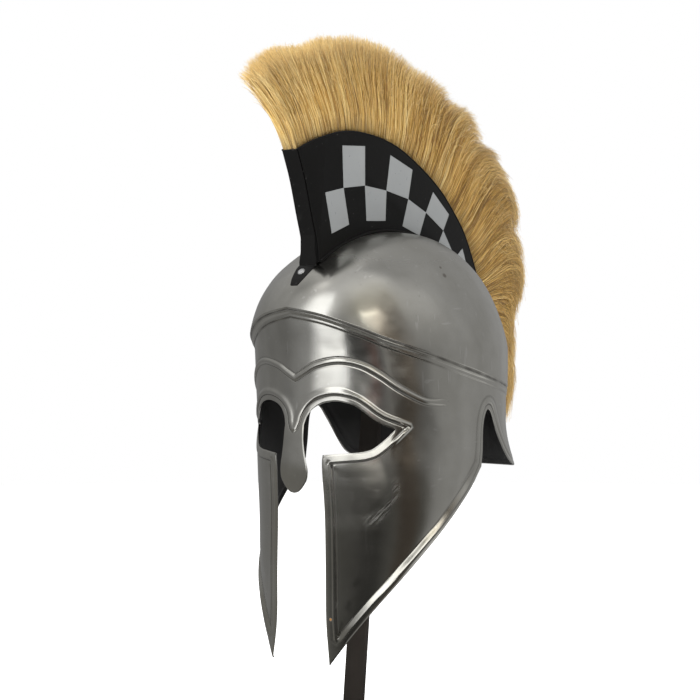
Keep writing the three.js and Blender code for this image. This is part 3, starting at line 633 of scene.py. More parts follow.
class Paint:
    """The nodes of one material, or of the room's light."""

    def __init__(self, name, room=False):
        if room:
            self.world = bpy.data.worlds.new(name)
            self.world.use_nodes = True
            self.tree = self.world.node_tree
            self.tree.nodes.clear()
            return
        self.material = bpy.data.materials.new(name)
        self.material.use_nodes = True
        self.tree = self.material.node_tree
        self.shader = self.tree.nodes["Principled BSDF"]
        self.place = self.node("ShaderNodeTexCoord").outputs["Object"]

    def node(self, kind, settings=None, *inputs, **named):
        made = self.tree.nodes.new(kind)
        for key, value in (settings or {}).items():
            if key == "stops":
                ramp = made.color_ramp
                while len(ramp.elements) < len(value):
                    ramp.elements.new(0.5)
                for stop, (at, colour) in zip(ramp.elements, value):
                    stop.position, stop.color = at, (*colour, 1)
            else:
                setattr(made, key, value)
        for key, value in [*enumerate(inputs), *named.items()]:
            self.plug(made.inputs[key.replace("_", " ") if isinstance(key, str) else key], value)
        return made

    def plug(self, socket, value):
        if isinstance(value, Value):
            value = value.socket
        if isinstance(value, bpy.types.NodeSocket):
            self.tree.links.new(value, socket)
        else:
            socket.default_value = value

    def mapped(self, scale=(1, 1, 1), turn=(0, 0, 0), shift=(0, 0, 0), place=None):
        return self.node("ShaderNodeMapping", None, place or self.place, shift, turn, scale).outputs[0]

    def axes(self, of=None):
        parts = self.node("ShaderNodeSeparateXYZ", None, of or self.place).outputs
        return (Value(self, part) for part in parts)

    def noise(self, scale, detail=3.0, rough=0.55, place=None, warp=0.0):
        made = self.node("ShaderNodeTexNoise", None, Vector=place or self.place, Scale=scale, Detail=detail,
                         Roughness=rough, Distortion=warp)
        return Value(self, made.outputs["Fac"])

    def attribute(self, name):
        return Value(self, self.node("ShaderNodeAttribute", {"attribute_name": name}).outputs["Fac"])

    def clipped(self, value, low, high):
        """0 up to low, 1 from high on, or the other way round where low is the larger."""
        return Value(self, self.node("ShaderNodeMapRange", {"interpolation_type": "SMOOTHSTEP"},
                                     value, low, high).outputs[0])

    def blend(self, factor, a, b):
        made = self.tree.nodes.new("ShaderNodeMix")
        made.data_type = "RGBA"
        self.plug(made.inputs[0], factor)
        for socket, value in ((made.inputs[6], a), (made.inputs[7], b)):
            self.plug(socket, (*value, 1) if isinstance(value, tuple) else value)
        return made.outputs[2]

    def ramp(self, value, *stops):
        return self.node("ShaderNodeValToRGB", {"stops": stops}, value).outputs[0]

    def bump(self, height, distance, strength=1.0, under=None):
        made = self.node("ShaderNodeBump", None, Strength=strength, Distance=distance, Height=height)
        if under is not None:
            self.plug(made.inputs["Normal"], under)
        return made.outputs[0]

    def finish(self, **sockets):
        """Sets the named sockets of the finish; a tuple is a colour."""
        for name, value in sockets.items():
            value = (*value, 1) if isinstance(value, tuple) else value
            self.plug(self.shader.inputs[name.replace("_", " ")], value)
        return self.material


def grey(level, warm=0.0):
    """A linear colour, neutral or a little warm."""
    return (level * (1 + warm), level, level * (1 - warm))


# two dents shown only as dark spots: painted shade of the dents, with no dent in the sheet's shape
DENT_SHADE_SPOTS = [((0.0782, -0.0101, 0.4014), 0.0026), ((0.0740, -0.0100, 0.4081), 0.0016)]     # row metres, radius
RUST = ((0.0309, -0.0991, 0.1238), 0.0014)


def polished_steel():
    """Drawn, handled and scratched steel, with painted shade darkening its creases, two dents painted as dark
    spots of shade, and a rust spot.
    """
    paint = Paint("polished_steel")
    crease = paint.attribute("crease")
    cloud = paint.noise(14, 4, 0.6)
    drawn = paint.noise(9, 6, 0.62, paint.mapped((1, 1, 14)))
    across = paint.noise(320, 3, 0.6, paint.mapped((1, 1, 0.05), (0.3, 0.1, 0)))
    specks = paint.clipped(paint.noise(520, 2, 0.5), 0.71, 0.76)
    spots = paint.clipped(paint.noise(42, 2, 0.5, warp=0.6), 0.70, 0.80)
    handled = paint.clipped(cloud, 0.35, 0.7)
    tone = paint.blend(handled, (0.492, 0.480, 0.438), (0.580, 0.570, 0.530))
    # painted shade: the creases darkened towards black, as where shade falls in them
    tone = paint.blend(crease * 0.82, tone, grey(0.055, 0.1))
    tone = paint.blend(specks * 0.35, tone, grey(0.16, 0.25))
    upright = paint.noise(260, 1, 0.4, paint.mapped((1, 1, 0.10), (0.5, 0.3, 0.3)))
    level = paint.noise(220, 1, 0.4, paint.mapped((1, 0.10, 1), (0.5, -0.4, 0.2)))
    scratch = paint.clipped(upright, 0.70, 0.75).most(paint.clipped(level, 0.71, 0.76))
    tone = paint.blend(scratch * 0.18, tone, grey(0.85, 0.02))
    x, y, z = paint.axes()

    def dot(at, size):
        apart = (x - at[0]) ** 2 + (y - at[1]) ** 2 + (z - at[2]) ** 2
        return paint.clipped(apart + (cloud - 0.5) * size ** 2, size ** 2, 0.2 * size ** 2)

    dents = dot(*DENT_SHADE_SPOTS[0]) + dot(*DENT_SHADE_SPOTS[1])
    rust = dot(*RUST)
    # painted shade: the dents darkened as spots
    tone = paint.blend(dents * 0.6, tone, grey(0.12, 0.2))
    tone = paint.blend(rust, tone, (0.30, 0.135, 0.025))
    slanted = paint.mapped(turn=(0, -0.78, 0), place=paint.mapped(turn=(0, 0, -0.70)))
    rubs = paint.noise(430, 2, 0.5, paint.mapped((1, 1, 0.12), place=slanted))
    rubbed = paint.attribute("scuff") * paint.clipped(rubs, 0.40, 0.60)
    tone = paint.blend(rubbed * 0.5, tone, grey(0.88))
    rough = 0.145 + handled * 0.06 + (drawn - 0.5) * 0.12 + crease * 0.25 + spots * 0.10
    rough = rough + rubbed * 0.22 + paint.clipped(z, 0.396, 0.432) * 0.17
    fine = paint.bump(across, 0.00006, 0.28)
    waves = paint.bump(paint.noise(26, 2, 0.5), 0.0006, 0.35, fine)
    return paint.finish(Base_Color=tone, Metallic=1 - rust * 0.9, Roughness=rough, Normal=waves)


def blackened_inside():
    paint = Paint("blackened_inside")
    cloud = paint.noise(30, 4)
    tone = paint.blend(cloud, grey(0.007), grey(0.020, 0.04))
    return paint.finish(Base_Color=tone, Roughness=0.46 + cloud * 0.2, Specular_IOR_Level=0.4,
                        Normal=paint.bump(paint.noise(220, 4), 0.0003, 0.4))


def black_paint():
    paint = Paint("satin_black_paint")
    cloud = paint.noise(18, 4)
    dust = paint.clipped(paint.noise(420, 2, 0.5), 0.72, 0.76)
    stain = paint.clipped(paint.noise(55, 3, 0.6), 0.62, 0.8)
    tone = paint.blend(cloud, grey(0.0030, 0.03), grey(0.0058, 0.05))
    tone = paint.blend(stain * 0.25, tone, grey(0.02, 0.03))
    tone = paint.blend(dust * 0.4, tone, grey(0.14, 0.03))
    return paint.finish(Base_Color=tone, Roughness=0.36 + cloud * 0.16 + stain * 0.1, Specular_IOR_Level=0.17,
                        Normal=paint.bump(paint.noise(180, 3), 0.00025, 0.35))


def pale_paint():
    paint = Paint("pale_grey_paint")
    cloud = paint.noise(24, 4)
    specks = paint.clipped(paint.noise(380, 2, 0.5), 0.70, 0.75)
    tone = paint.blend(cloud, (0.284, 0.296, 0.300), (0.332, 0.342, 0.342))
    tone = paint.blend(specks * 0.5, tone, grey(0.10))
    return paint.finish(Base_Color=tone, Roughness=0.42 + cloud * 0.15,
                        Normal=paint.bump(paint.noise(200, 3), 0.0002, 0.35))


def rivet_metal():
    paint = Paint("rivet_metal")
    cloud = paint.noise(260, 4)
    tone = paint.blend(cloud, grey(0.42), grey(0.7))
    return paint.finish(Base_Color=tone, Metallic=0.8, Roughness=0.38 + cloud * 0.2,
                        Normal=paint.bump(paint.noise(500, 3), 0.0002, 0.5))


def blond_hair():
    paint = Paint("blond_hair")
    tone, along = paint.attribute("tone"), paint.attribute("along")
    cloud = paint.noise(16, 3)
    mix = tone * 0.75 + cloud * 0.35 - 0.05
    colour = paint.ramp(mix, (0.0, (0.20, 0.094, 0.018)), (0.32, (0.52, 0.300, 0.070)),
                        (0.60, (0.83, 0.555, 0.175)), (1.0, (1.0, 0.82, 0.40)))
    # painted shade: darker towards the roots, where the hairs crowd into the crest
    colour = paint.blend(paint.clipped(along, 0.24, 0.0) * 0.45, colour, (0.26, 0.15, 0.05))
    # painted light: paler towards the tips, as hair lit from behind
    colour = paint.blend(paint.clipped(along, 0.62, 1.0) * 0.30, colour, (1.0, 0.82, 0.46))
    return paint.finish(Base_Color=colour, Roughness=0.5 + tone * 0.12, Specular_IOR_Level=0.35,
                        Sheen_Weight=0.12, Sheen_Roughness=0.4)


def stand_steel():
    paint = Paint("stand_brown_metal")
    drawn = paint.noise(40, 5, 0.6, paint.mapped((1, 1, 0.08)))
    cloud = paint.noise(28, 4)
    tone = paint.blend(cloud, (0.020, 0.016, 0.013), (0.048, 0.038, 0.030))
    return paint.finish(Base_Color=tone, Metallic=0.35, Roughness=0.40 + drawn * 0.22,
                        Normal=paint.bump(drawn, 0.0003, 0.4))


def stand_board():
    paint = Paint("stand_black_board")
    grain = paint.noise(60, 5, 0.6, paint.mapped((1, 0.08, 1)))
    tone = paint.blend(grain, grey(0.010, 0.1), grey(0.026, 0.12))
    return paint.finish(Base_Color=tone, Roughness=0.38 + grain * 0.2, Coat_Weight=0.2,
                        Normal=paint.bump(grain, 0.0003, 0.35))


# ---------------------------------------------------------------------------------------
# The black crest box
# ---------------------------------------------------------------------------------------
CREST = {"half": 9.2, "wall": 1.2, "bed": 7.7, "foot": (-87.5, 127)}     # half widths, and from and to
TRIM = {"radius": 0.75, "inset": 0.3}                   # round the panel's arc
# along the panel's lower edge; its run is from, to and how many points
FOOT_WIRE = {"radius": 1.4, "inset": -0.3, "lift": 1.2, "run": (-86, 127, 70)}
CHECK_COAT = {"under": 0.02, "over": 0.12}              # the pale paint's faces, under and over the panel's
CREST_ARC = [(-113, 162), (-98, 169), (-82, 174.5), (-62, 180), (-40, 182.2), (-10, 180), (15, 174),
             (36, 165), (59, 152.5), (78, 139.5), (94, 124.5), (109, 108), (121, 88), (133, 61), (139, 36)]
CREST_FRONT = [(-113, 162), (-104, 139), (-96, 111), (-91, 94.5), (-87.5, 80)]
CREST_REAR = [(139, 36), (137.5, 20), (133.6, 6)]
# corners of the pale cells, (y, height), in three rows from the front
CHECKS_TOP = [(-58.8, 169.3), (-29.4, 171.4), (4.8, 166.7), (35.4, 156.6), (64.9, 139.2), (88.3, 120.8),
              (108.6, 91.4), (115.9, 74.1)]
CHECKS_MIDDLE = [(-80.5, 128.9), (-57.3, 134.3), (-29.4, 138.2), (-0.7, 136), (29.5, 130.7), (54.6, 120.6),
                 (79.9, 106.1), (97.3, 82.8)]
CHECKS_BOTTOM = [(-72.2, 95.7), (-50.2, 104.3), (-27.5, 108.6), (-2, 110.1), (21.4, 106.9), (45.3, 99.9),
                 (70.9, 91.7), (97.3, 82.8)]


def dome_height(x, y):
    """The dome's height above a place, by halving."""
    turn = math.atan2(x, -y)
    reach = math.hypot(x, y)
    low, high = 20.0, CROWN
    for _ in range(40):
        middle = (low + high) / 2
        if float(dome_radius(np.array([turn]), np.array([middle]))[0]) > reach:
            low = middle
        else:
            high = middle
    return low


def panel_outline():
    first, last = CREST["foot"]
    shares = (1 - np.cos(np.linspace(0, np.pi, 41))) / 2            # closer together at both ends
    under = [(y, dome_height(8, y) + 1.1) for y in first + (last - first) * shares]
    leaning = spline(CREST_FRONT, 6.0)[::-1][1:-1]
    return np.vstack([spline(CREST_ARC, 4.0), CREST_REAR[1:], under[::-1], leaning])


def slab(outlines, inner, outer, side=1):
    """A bmesh of flat (y, z) outlines given a thickness across the helmet, on one side of it."""
    bm = bmesh.new()
    faces = [bm.faces.new([bm.verts.new(p) for p in to_row([(inner, y, z) for y, z in line])])
             for line in outlines]
    grown = bmesh.ops.extrude_face_region(bm, geom=faces)["geom"]
    bmesh.ops.translate(bm, vec=((outer - inner) * MM, 0, 0),
                        verts=[v for v in grown if isinstance(v, bmesh.types.BMVert)])
    if side < 0:
        bmesh.ops.scale(bm, vec=(-1, 1, 1), verts=bm.verts)
    bmesh.ops.recalc_face_normals(bm, faces=bm.faces)
    return bm


def plate(outline, inner, outer, name, material, bevel=0.3, side=1):
    """A flat plate cut to an outline, its edges eased."""
    bm = slab([outline], inner, outer, side)
    if bevel:
        rims = [edge for edge in bm.edges if edge.calc_face_angle(0) > 1.0
                and any(len(face.verts) > 6 for face in edge.link_faces)]
        bmesh.ops.bevel(bm, geom=rims, offset=bevel * MM, segments=2, profile=0.5, affect="EDGES",
                        material=-1, clamp_overlap=True)
    made = piece_from(bm, name, material)
    made.data.shade_smooth()
    made.data.set_sharp_from_angle(angle=0.6)
    return made


def wire(path, radius, name, material, sides=8):
    """A round wire along a run of (x, y, z) points, with closed ends."""
    path = np.asarray(path, float)
    bm = bmesh.new()
    rings = []
    for p, heading in zip(path, np.gradient(path, axis=0)):
        across = np.array([1.0, 0.0, 0.0])
        up = np.cross(heading, across)
        up /= np.linalg.norm(up)
        rings.append([bm.verts.new(to_row(p + radius * (across * math.cos(a) + up * math.sin(a))))
                      for a in np.arange(sides) * 2 * math.pi / sides])
    for before, ring in zip(rings[:-1], rings[1:]):
        for k in range(sides):
            bm.faces.new([before[k - 1], before[k], ring[k], ring[k - 1]])
    bm.faces.new(rings[0])
    bm.faces.new(rings[-1][::-1])
    bmesh.ops.recalc_face_normals(bm, faces=bm.faces)
    made = piece_from(bm, name, material)
    made.data.shade_smooth()
    return made


def checks(side, name, material):
    """Pale painted cells on a crest panel, two rows of them, staggered."""
    top, middle, bottom = CHECKS_TOP, CHECKS_MIDDLE, CHECKS_BOTTOM
    cells = []
    for k in (0, 2, 4):
        cells.append([top[k], top[k + 1], middle[k + 2], middle[k + 1]])
        cells.append([middle[k], middle[k + 1], bottom[k + 1], bottom[k]])
    cells += [[top[6], top[7], middle[7]], [middle[6], middle[7], bottom[6]]]
    face = CREST["half"]
    coat = slab(cells, face - CHECK_COAT["under"], face + CHECK_COAT["over"], side)
    return piece_from(coat, name, material)


# ---------------------------------------------------------------------------------------
# The plume
# ---------------------------------------------------------------------------------------
PLUME_TIPS = [                      # where the hair ends, (y, height), from the front to the tail
    (-166, 217), (-155, 230.5), (-135, 242), (-101, 249), (-76, 258), (-44.5, 263), (-18, 263), (9, 260),
    (32.5, 251), (58, 245), (83, 237), (98, 225), (122, 218.5), (136, 206), (144, 193), (164, 184),
    (180, 168.5), (197, 146), (203, 128), (200, 109), (210, 95), (214, 71), (210, 47.5), (202, 33),
    (199, 14), (199, -9.5), (198, -38), (194, -57), (189, -71),
]
PLUME_FLOW = [                      # share of the plume, share along its roots, along its tips, sweep
    (0, 0, 0, -0.10), (0.2, 0.2, 0.16, 0.0), (0.4, 0.4, 0.34, 0.14), (0.6, 0.6, 0.53, 0.36),
    (0.8, 0.8, 0.72, 0.55), (0.9, 0.9, 0.85, 0.60), (1, 1, 1, 0.65),
]
# tables along the plume: share from the front, and a value there
TIP_SPREAD = [(0, 10.5), (0.25, 12.5), (0.55, 13.5), (0.8, 11), (1, 6.5)]      # half width at the tips
SIDE_DROP = [(0, 0.5), (0.4, 0.8), (0.8, 1.3), (1, 1.6)]        # how much shorter the outer hairs are
# the hairs' tone along the plume; its lightness at the front is painted light on the plume's front
HAIR_TONE = [(0, 0.66), (0.15, 0.58), (0.35, 0.50), (0.6, 0.42), (1, 0.40)]
HEART_SHARE = [(0, 0.5), (0.05, 1), (0.6, 1), (0.8, 0.65), (1, 0.35)]
# and tables along a hair
HAIR_TAPER = [(0, 0.9), (0.15, 1.0), (0.7, 0.8), (1, 0.22)]
HEART_HALF = [(0, 5.5), (0.4, 8.5), (0.85, 8.0), (1, 1.2)]      # half width of the dense heart
ROOT_SPREAD = 6.6                   # half width at the roots
HAIR_RADIUS = (0.20, 0.34)
LOCK_COUNT = 230
LOCK_GRID = (60, 1.6)               # how the nearest lock is measured: along the plume and across it
HAIRS_A_PIECE = 5200
HAIR_PIECES = 4
root_line = spline(CREST_ARC + CREST_REAR[1:], 1.0)
tip_line = spline(PLUME_TIPS, 1.0)


def table(rows, at):
    return np.interp(at, *zip(*rows))


def place_on(line, share):
    at = np.asarray(share) * (len(line) - 1)
    return np.stack([np.interp(at, np.arange(len(line)), line[:, k]) for k in (0, 1)], -1)


def heading_on(line, share):
    step = place_on(line, np.clip(share + 0.01, 0, 1)) - place_on(line, np.clip(share - 0.01, 0, 1))
    return step / np.linalg.norm(step, axis=-1, keepdims=True)


def plume_curves(share, root_x, tip_x, length, curl, wide=0.0):
    """Bezier points, in the helmet's millimetres, of hairs that start at a share of the crest's arc."""
    root_at, tip_at, sweep = (through(PLUME_FLOW, k)(clamp(share)) for k in (1, 2, 3))
    root, tip = place_on(root_line, clamp(root_at)), place_on(tip_line, clamp(tip_at + wide))
    along_root, along_tip = heading_on(root_line, root_at), heading_on(tip_line, tip_at)
    out_root = np.stack([-along_root[:, 1], along_root[:, 0]], 1)
    out_tip = np.stack([-along_tip[:, 1], along_tip[:, 0]], 1)
    tip = root + (tip - root) * length[:, None]
    reach = np.linalg.norm(tip - root, axis=1, keepdims=True)
    first = root + out_root * reach * 0.42
    rising = (0.24 - 0.3 * np.maximum(sweep, 0))[:, None]
    second = tip - along_tip * (sweep[:, None] * reach) - out_tip * reach * rising
    second = second + along_tip * (curl[:, None] * reach)
    sunk = root - out_root * 3.0
    x = [root_x + (tip_x - root_x) * part for part in (0, 0.35, 0.8, 1)]
    return [np.concatenate([xs[:, None], yz], 1) for xs, yz in zip(x, (sunk, first, second, tip))]


def bezier(points, t):
    a, b, c, d = (p[:, None, :] for p in points)
    t = t[None, :, None]
    return a * (1 - t) ** 3 + 3 * b * t * (1 - t) ** 2 + 3 * c * t * t * (1 - t) + d * t ** 3


def nearest_lock(share, lane, random):
    """The lock that each hair belongs to."""
    key = np.stack([share, lane], 1) * LOCK_GRID + random.normal(0, 0.22, (len(share), 2))
    return LOCKS[((key[:, None] - LOCKS[None, :, :2] * LOCK_GRID) ** 2).sum(-1).argmin(1)]


def hair_lines(share, lane, lock, t, random):
    """Points along each hair, which leans towards the tip of its lock, waves and frizzes."""
    count = len(share)
    gather = 0.18 + 0.34 * share
    own = share + random.normal(0, 0.006, count)
    aim = own + (lock[:, 0] - own) * gather
    tip_lane = lane + (lock[:, 1] - lane) * gather * 0.8
    length = lock[:, 2] - 0.022 * np.abs(random.normal(size=count))
    short = random.random(count) < 0.25
    length = np.where(short, length * random.uniform(0.60, 0.96, count), length)
    root_x = lane * ROOT_SPREAD + random.normal(0, 0.5, count)
    length = length * (1 - 0.085 * lane ** 2 * table(SIDE_DROP, share))
    tip_x = tip_lane * table(TIP_SPREAD, share) + random.normal(0, 1.3, count)
    curl = lock[:, 3] + random.normal(0, 0.03, count)
    line = bezier(plume_curves(own, root_x, tip_x, length, curl, (aim - own) * 0.8), t)
    wave = random.normal(0, 1, (count, 2))
    swing = np.sin(t[None, :] * 3.4 + lock[:, 4:5] * 6.28) * t[None, :] * (0.8 + 2.2 * share[:, None])
    line[:, :, 1] += swing * 0.6 + wave[:, :1] * t[None, :] * 1.5
    line[:, :, 2] += swing * 0.35 + wave[:, 1:] * t[None, :] * 1.0
    out = t[None, :, None]
    frizz = random.uniform(5, 15, (count, 1, 3)) * out + random.uniform(0, 6.28, (count, 1, 3))
    loose = random.uniform(0.3, 1.7, (count, 1, 1)) * (0.6 + 0.8 * share[:, None, None])
    return line + np.sin(frizz) * out * loose


def three_sided(line, radius, spin):
    """Corners of thin three-sided rods along the lines: rod, step, corner."""
    ahead = unit(np.gradient(line, axis=1))
    aside = unit(np.cross(ahead, [1.0, 0.0, 0.0]))
    other = np.cross(ahead, aside)
    angles = [spin[:, None, None] + k * 2 * np.pi / 3 for k in range(3)]
    return np.stack([line + radius[..., None] * (np.cos(a) * aside + np.sin(a) * other) for a in angles], 2)


def unit(vectors):
    return vectors / np.maximum(np.linalg.norm(vectors, axis=-1, keepdims=True), 1e-9)


def hairs(name, share, lane, material, seed, steps=6):
    """A joined mesh of closed three-sided hairs, gathered in locks."""
    random = np.random.default_rng(seed)
    count = len(share)
    lock = nearest_lock(share, lane, random)
    t = np.linspace(0, 1, steps + 1) ** 0.9
    line = hair_lines(share, lane, lock, t, random)
    spin = random.uniform(0, 2 * np.pi, count)
    radius = random.uniform(*HAIR_RADIUS, count)[:, None] * table(HAIR_TAPER, t)[None]
    vertices = three_sided(line, radius, spin).reshape(-1, 3)
    per = (steps + 1) * 3                               # corners on one hair
    first = np.arange(count)[:, None] * per
    low = first[..., None] + (np.arange(steps) * 3)[None, :, None]
    k, after = np.arange(3), (np.arange(3) + 1) % 3
    quads = np.stack([low + k, low + after, low + 3 + after, low + 3 + k], -1).reshape(-1, 4)
    caps = np.concatenate([first + [2, 1, 0], first + steps * 3 + [0, 1, 2]])
    mesh = bpy.data.meshes.new(name + "_mesh")
    mesh.vertices.add(len(vertices))
    mesh.vertices.foreach_set("co", to_row(vertices).ravel())
    corners = np.concatenate([quads.ravel(), caps.ravel()])
    mesh.loops.add(len(corners))
    mesh.loops.foreach_set("vertex_index", corners)
    mesh.polygons.add(len(quads) + len(caps))
    starts = np.concatenate([np.arange(len(quads)) * 4, quads.size + np.arange(len(caps)) * 3])
    mesh.polygons.foreach_set("loop_start", starts)
    mesh.update(calc_edges=True)
    mesh.shade_smooth()
    tone = clamp(table(HAIR_TONE, share) + 0.31 * random.normal(size=count) + (lock[:, 5] - 0.5) * 0.30)
    mark(mesh, "tone", np.repeat(tone, per))
    mark(mesh, "along", np.tile(np.repeat(t, 3), count))
    return add_piece(name, mesh, material)


def make_locks():
    """Locks of hair: share along the plume, lane across it, length, curl, and two draws of its own."""
    share = np.clip((np.arange(LOCK_COUNT) + rng.uniform(0, 1, LOCK_COUNT)) / LOCK_COUNT, 0, 1)
    lane = rng.uniform(-1, 1, LOCK_COUNT)
    length = rng.uniform(0.992, 1.010, LOCK_COUNT)
    curl = rng.normal(0, 0.03, LOCK_COUNT)
    return np.stack([share, lane, length, curl, rng.random(LOCK_COUNT), rng.random(LOCK_COUNT)], 1)


LOCKS = make_locks()


def plume_core(name, material):
    """The plume's dense heart, which keeps light from passing through the hairs, in a dark hair colour:
    painted shade of the plume's inside.
    """
    steps = 8
    out = np.linspace(0, 1, steps + 1)
    one, none = np.ones(1), np.zeros(1)
    bm = bmesh.new()
    rows = []
    for share in np.linspace(0.03, 0.985, 60):
        line = bezier(plume_curves(one * share, none, none, one * 0.82, none), out)[0]
        half = table(HEART_HALF, out) * table(HEART_SHARE, share)
        rows.append([[bm.verts.new(to_row((side * w, y, z))) for (_, y, z), w in zip(line, half)]
                     for side in (-1, 1)])
    for before, after in zip(rows[:-1], rows[1:]):
        for side in (0, 1):
            for k in range(steps):
                bm.faces.new([before[side][k], after[side][k], after[side][k + 1], before[side][k + 1]])
        for k in (0, steps):
            bm.faces.new([before[0][k], after[0][k], after[1][k], before[1][k]])
    for row in (rows[0], rows[-1]):
        for k in range(steps):
            bm.faces.new([row[0][k], row[0][k + 1], row[1][k + 1], row[1][k]])
    bmesh.ops.recalc_face_normals(bm, faces=bm.faces)
    made = piece_from(bm, name, material)
    made.data.shade_smooth()
    # a dark tone: painted shade inside the plume
    mark(made.data, "tone", np.full(len(made.data.vertices), 0.2))
    mark(made.data, "along", np.full(len(made.data.vertices), 0.3))
    return made


# ---------------------------------------------------------------------------------------
# Camera and light
# ---------------------------------------------------------------------------------------
CAMERA = {"place": (0.9455, -1.1648, 0.340), "turn": 40, "lens": 90.03, "sensor": 36}


def camera():
    lens = bpy.data.cameras.new("camera")
    lens.lens, lens.sensor_width = CAMERA["lens"], CAMERA["sensor"]
    made = bpy.data.objects.new("camera", lens)
    made.location = CAMERA["place"]
    made.rotation_euler = (math.radians(90), 0, math.radians(CAMERA["turn"]))
    bpy.context.scene.collection.objects.link(made)
    bpy.context.scene.camera = made


LAMPS = [                           # name, place, aimed at, width, depth, watts
    ("high_left_window", (-0.6, -1.6, 1.5), (0, 0, 0.38), 0.9, 0.9, 27),
    ("right_window", (2.2, -0.5, 1.0), (0, 0, 0.35), 0.35, 1.6, 8),
    ("overhead", (0.2, 0.1, 2.3), (0, 0, 0.4), 1.2, 1.2, 14),
    ("behind", (-1.2, 1.6, 1.2), (0, 0, 0.4), 1.0, 1.0, 9),
]


def lamp(name, place, aim, width, depth, power):
    light = bpy.data.lights.new(name, "AREA")
    light.energy, light.shape = power, "RECTANGLE"
    light.size, light.size_y = width, depth
    made = bpy.data.objects.new(name, light)
    made.location = place
    made.rotation_euler = (Vector(aim) - Vector(place)).to_track_quat("-Z", "Y").to_euler()
    made.visible_glossy = False
    bpy.context.scene.collection.objects.link(made)


# What the polish mirrors of the room. Directions are degrees round from the front towards the
# wearer's left, and degrees up from level.
WALLS = [                           # how bright the walls are, from straight down to straight up
    (0.0, grey(0.30)), (0.32, grey(0.27)), (0.44, grey(0.22)), (0.52, grey(0.25)), (0.62, grey(0.34)),
    (0.75, grey(0.47)), (0.88, grey(0.66)), (1.0, grey(0.62)),
]
BACK_WALL = 0.36                    # and how bright the walls behind the helmet are
WINDOWS = [                         # soft lights: round, up, how wide and tall, strength
    (3, 41, 15, 13, 1.05), (-27, 66, 13, 8, 0.6), (45, 17, 4, 5, 0.9), (75, -23, 16, 5, 0.9),
    (65, 66, 38, 15, 0.16), (140, -27, 30, 8, 0.4), (35, 1, 10, 4.5, 0.85), (59, -3, 4.5, 10, 0.14),
    (108, 38, 24, 16, 0.24),
]
PANES = [(54, 73, 26, 37, 0.80), (55, 72, 32.5, 36.5, 1.1)]     # round from and to, up from and to, strength
SHADOWS = [                         # soft dark things: round, up, how wide and tall, depth
    (28, -11, 54, 13, 0.84), (84, 25, 10, 9, 0.65), (30, 26, 10, 9, 0.35), (78, -7, 17, 10, 0.5),
    (41, -9, 5, 9, 0.45), (71, -3, 7, 12, 0.48), (80, 34, 6, 11, 0.55), (-58, 55, 14, 11, 0.35),
]
TINTS = [                           # round, up, how wide and tall, colour
    (62, 42, 24, 22, (1.04, 1.0, 0.86)), (76, 6, 11, 27, (1.20, 0.95, 0.72)),
    (42, -9, 6, 8, (1.45, 0.82, 0.72)),
]


def room():
    """White to look at, and a soft grey workshop with a few bright windows in the polish."""
    paint = Paint("room", room=True)
    bpy.context.scene.world = paint.world
    x, y, z = paint.axes(paint.node("ShaderNodeTexCoord").outputs["Generated"])
    in_degrees = 180 / math.pi
    lift = z.arc("ARCSINE") * in_degrees
    turn = x.arc("ARCTAN2", y * -1) * in_degrees
    level = Value(paint, paint.ramp(lift * (1 / 180) + 0.5, *WALLS))
    back = paint.clipped(turn, 88.0, 114.0) + paint.clipped(turn * -1, 135.0, 165.0)
    level = level + (BACK_WALL - level) * back
    bands = paint.node("ShaderNodeTexNoise", {"noise_dimensions": "1D"},
                       W=turn * 0.055, Scale=1.0, Detail=2.0)
    level = level * (0.80 + Value(paint, bands.outputs["Fac"]) * 0.40)
    for around, up, wide, tall, depth in SHADOWS:
        level = level * (1 - turn.hump(around, wide) * lift.hump(up, tall) * depth)
    for around, up, wide, tall, strength in WINDOWS:
        level = level + turn.hump(around, wide) * lift.hump(up, tall) * strength
    for left, right, low, high, strength in PANES:
        across = paint.clipped(turn, left - 1.5, left + 1.5) * paint.clipped(turn, right + 1.5, right - 1.5)
        upward = paint.clipped(lift, low - 1.5, low + 1.5) * paint.clipped(lift, high + 1, high - 1)
        level = level + across * upward * strength
    tint = (0.99, 0.99, 0.99)
    for around, up, wide, tall, colour in TINTS:
        tint = paint.blend(turn.hump(around, wide) * lift.hump(up, tall), tint, colour)
    glow = paint.node("ShaderNodeVectorMath", {"operation": "SCALE"}, tint)
    paint.plug(glow.inputs["Scale"], level)
    path = paint.node("ShaderNodeLightPath")
    felt = paint.node("ShaderNodeBackground", None, glow.outputs[0], 1.0).outputs[0]
    seen = paint.node("ShaderNodeBackground", None, (1, 1, 1, 1), 1.0).outputs[0]
    soft = paint.node("ShaderNodeBackground", None, (1, 0.99, 0.97, 1), 0.50).outputs[0]
    lit = paint.node("ShaderNodeMixShader", None, path.outputs["Is Glossy Ray"], soft, felt).outputs[0]
    shown = paint.node("ShaderNodeMixShader", None, path.outputs["Is Camera Ray"], lit, seen).outputs[0]
    paint.node("ShaderNodeOutputWorld", None, shown)


def floor():
    bm = bmesh.new()
    bmesh.ops.create_circle(bm, cap_ends=True, segments=96, radius=3.0)
    paint = Paint("pale_floor")
    paint.finish(Base_Color=(0.86, 0.86, 0.86), Roughness=0.8,
                 Emission_Color=(1, 1, 1), Emission_Strength=0.85)
    made = piece_from(bm, "floor", paint.material)
    made.visible_glossy = False


def glowing(bm, name, paint, colour, strength, shown):
    """A screen that shines only where it is shown, and is seen only in the polish."""
    lit = paint.node("ShaderNodeEmission", None, colour, strength).outputs[0]
    clear = paint.node("ShaderNodeBsdfTransparent").outputs[0]
    both = paint.node("ShaderNodeMixShader", None, shown, clear, lit).outputs[0]
    paint.tree.links.new(both, paint.tree.nodes["Material Output"].inputs["Surface"])
    made = piece_from(bm, name, paint.material)
    made.visible_camera = made.visible_diffuse = made.visible_shadow = False


WINDOW = {"width": 1.30, "height": 1.90, "middle": (-0.40, -0.85, 1.055)}


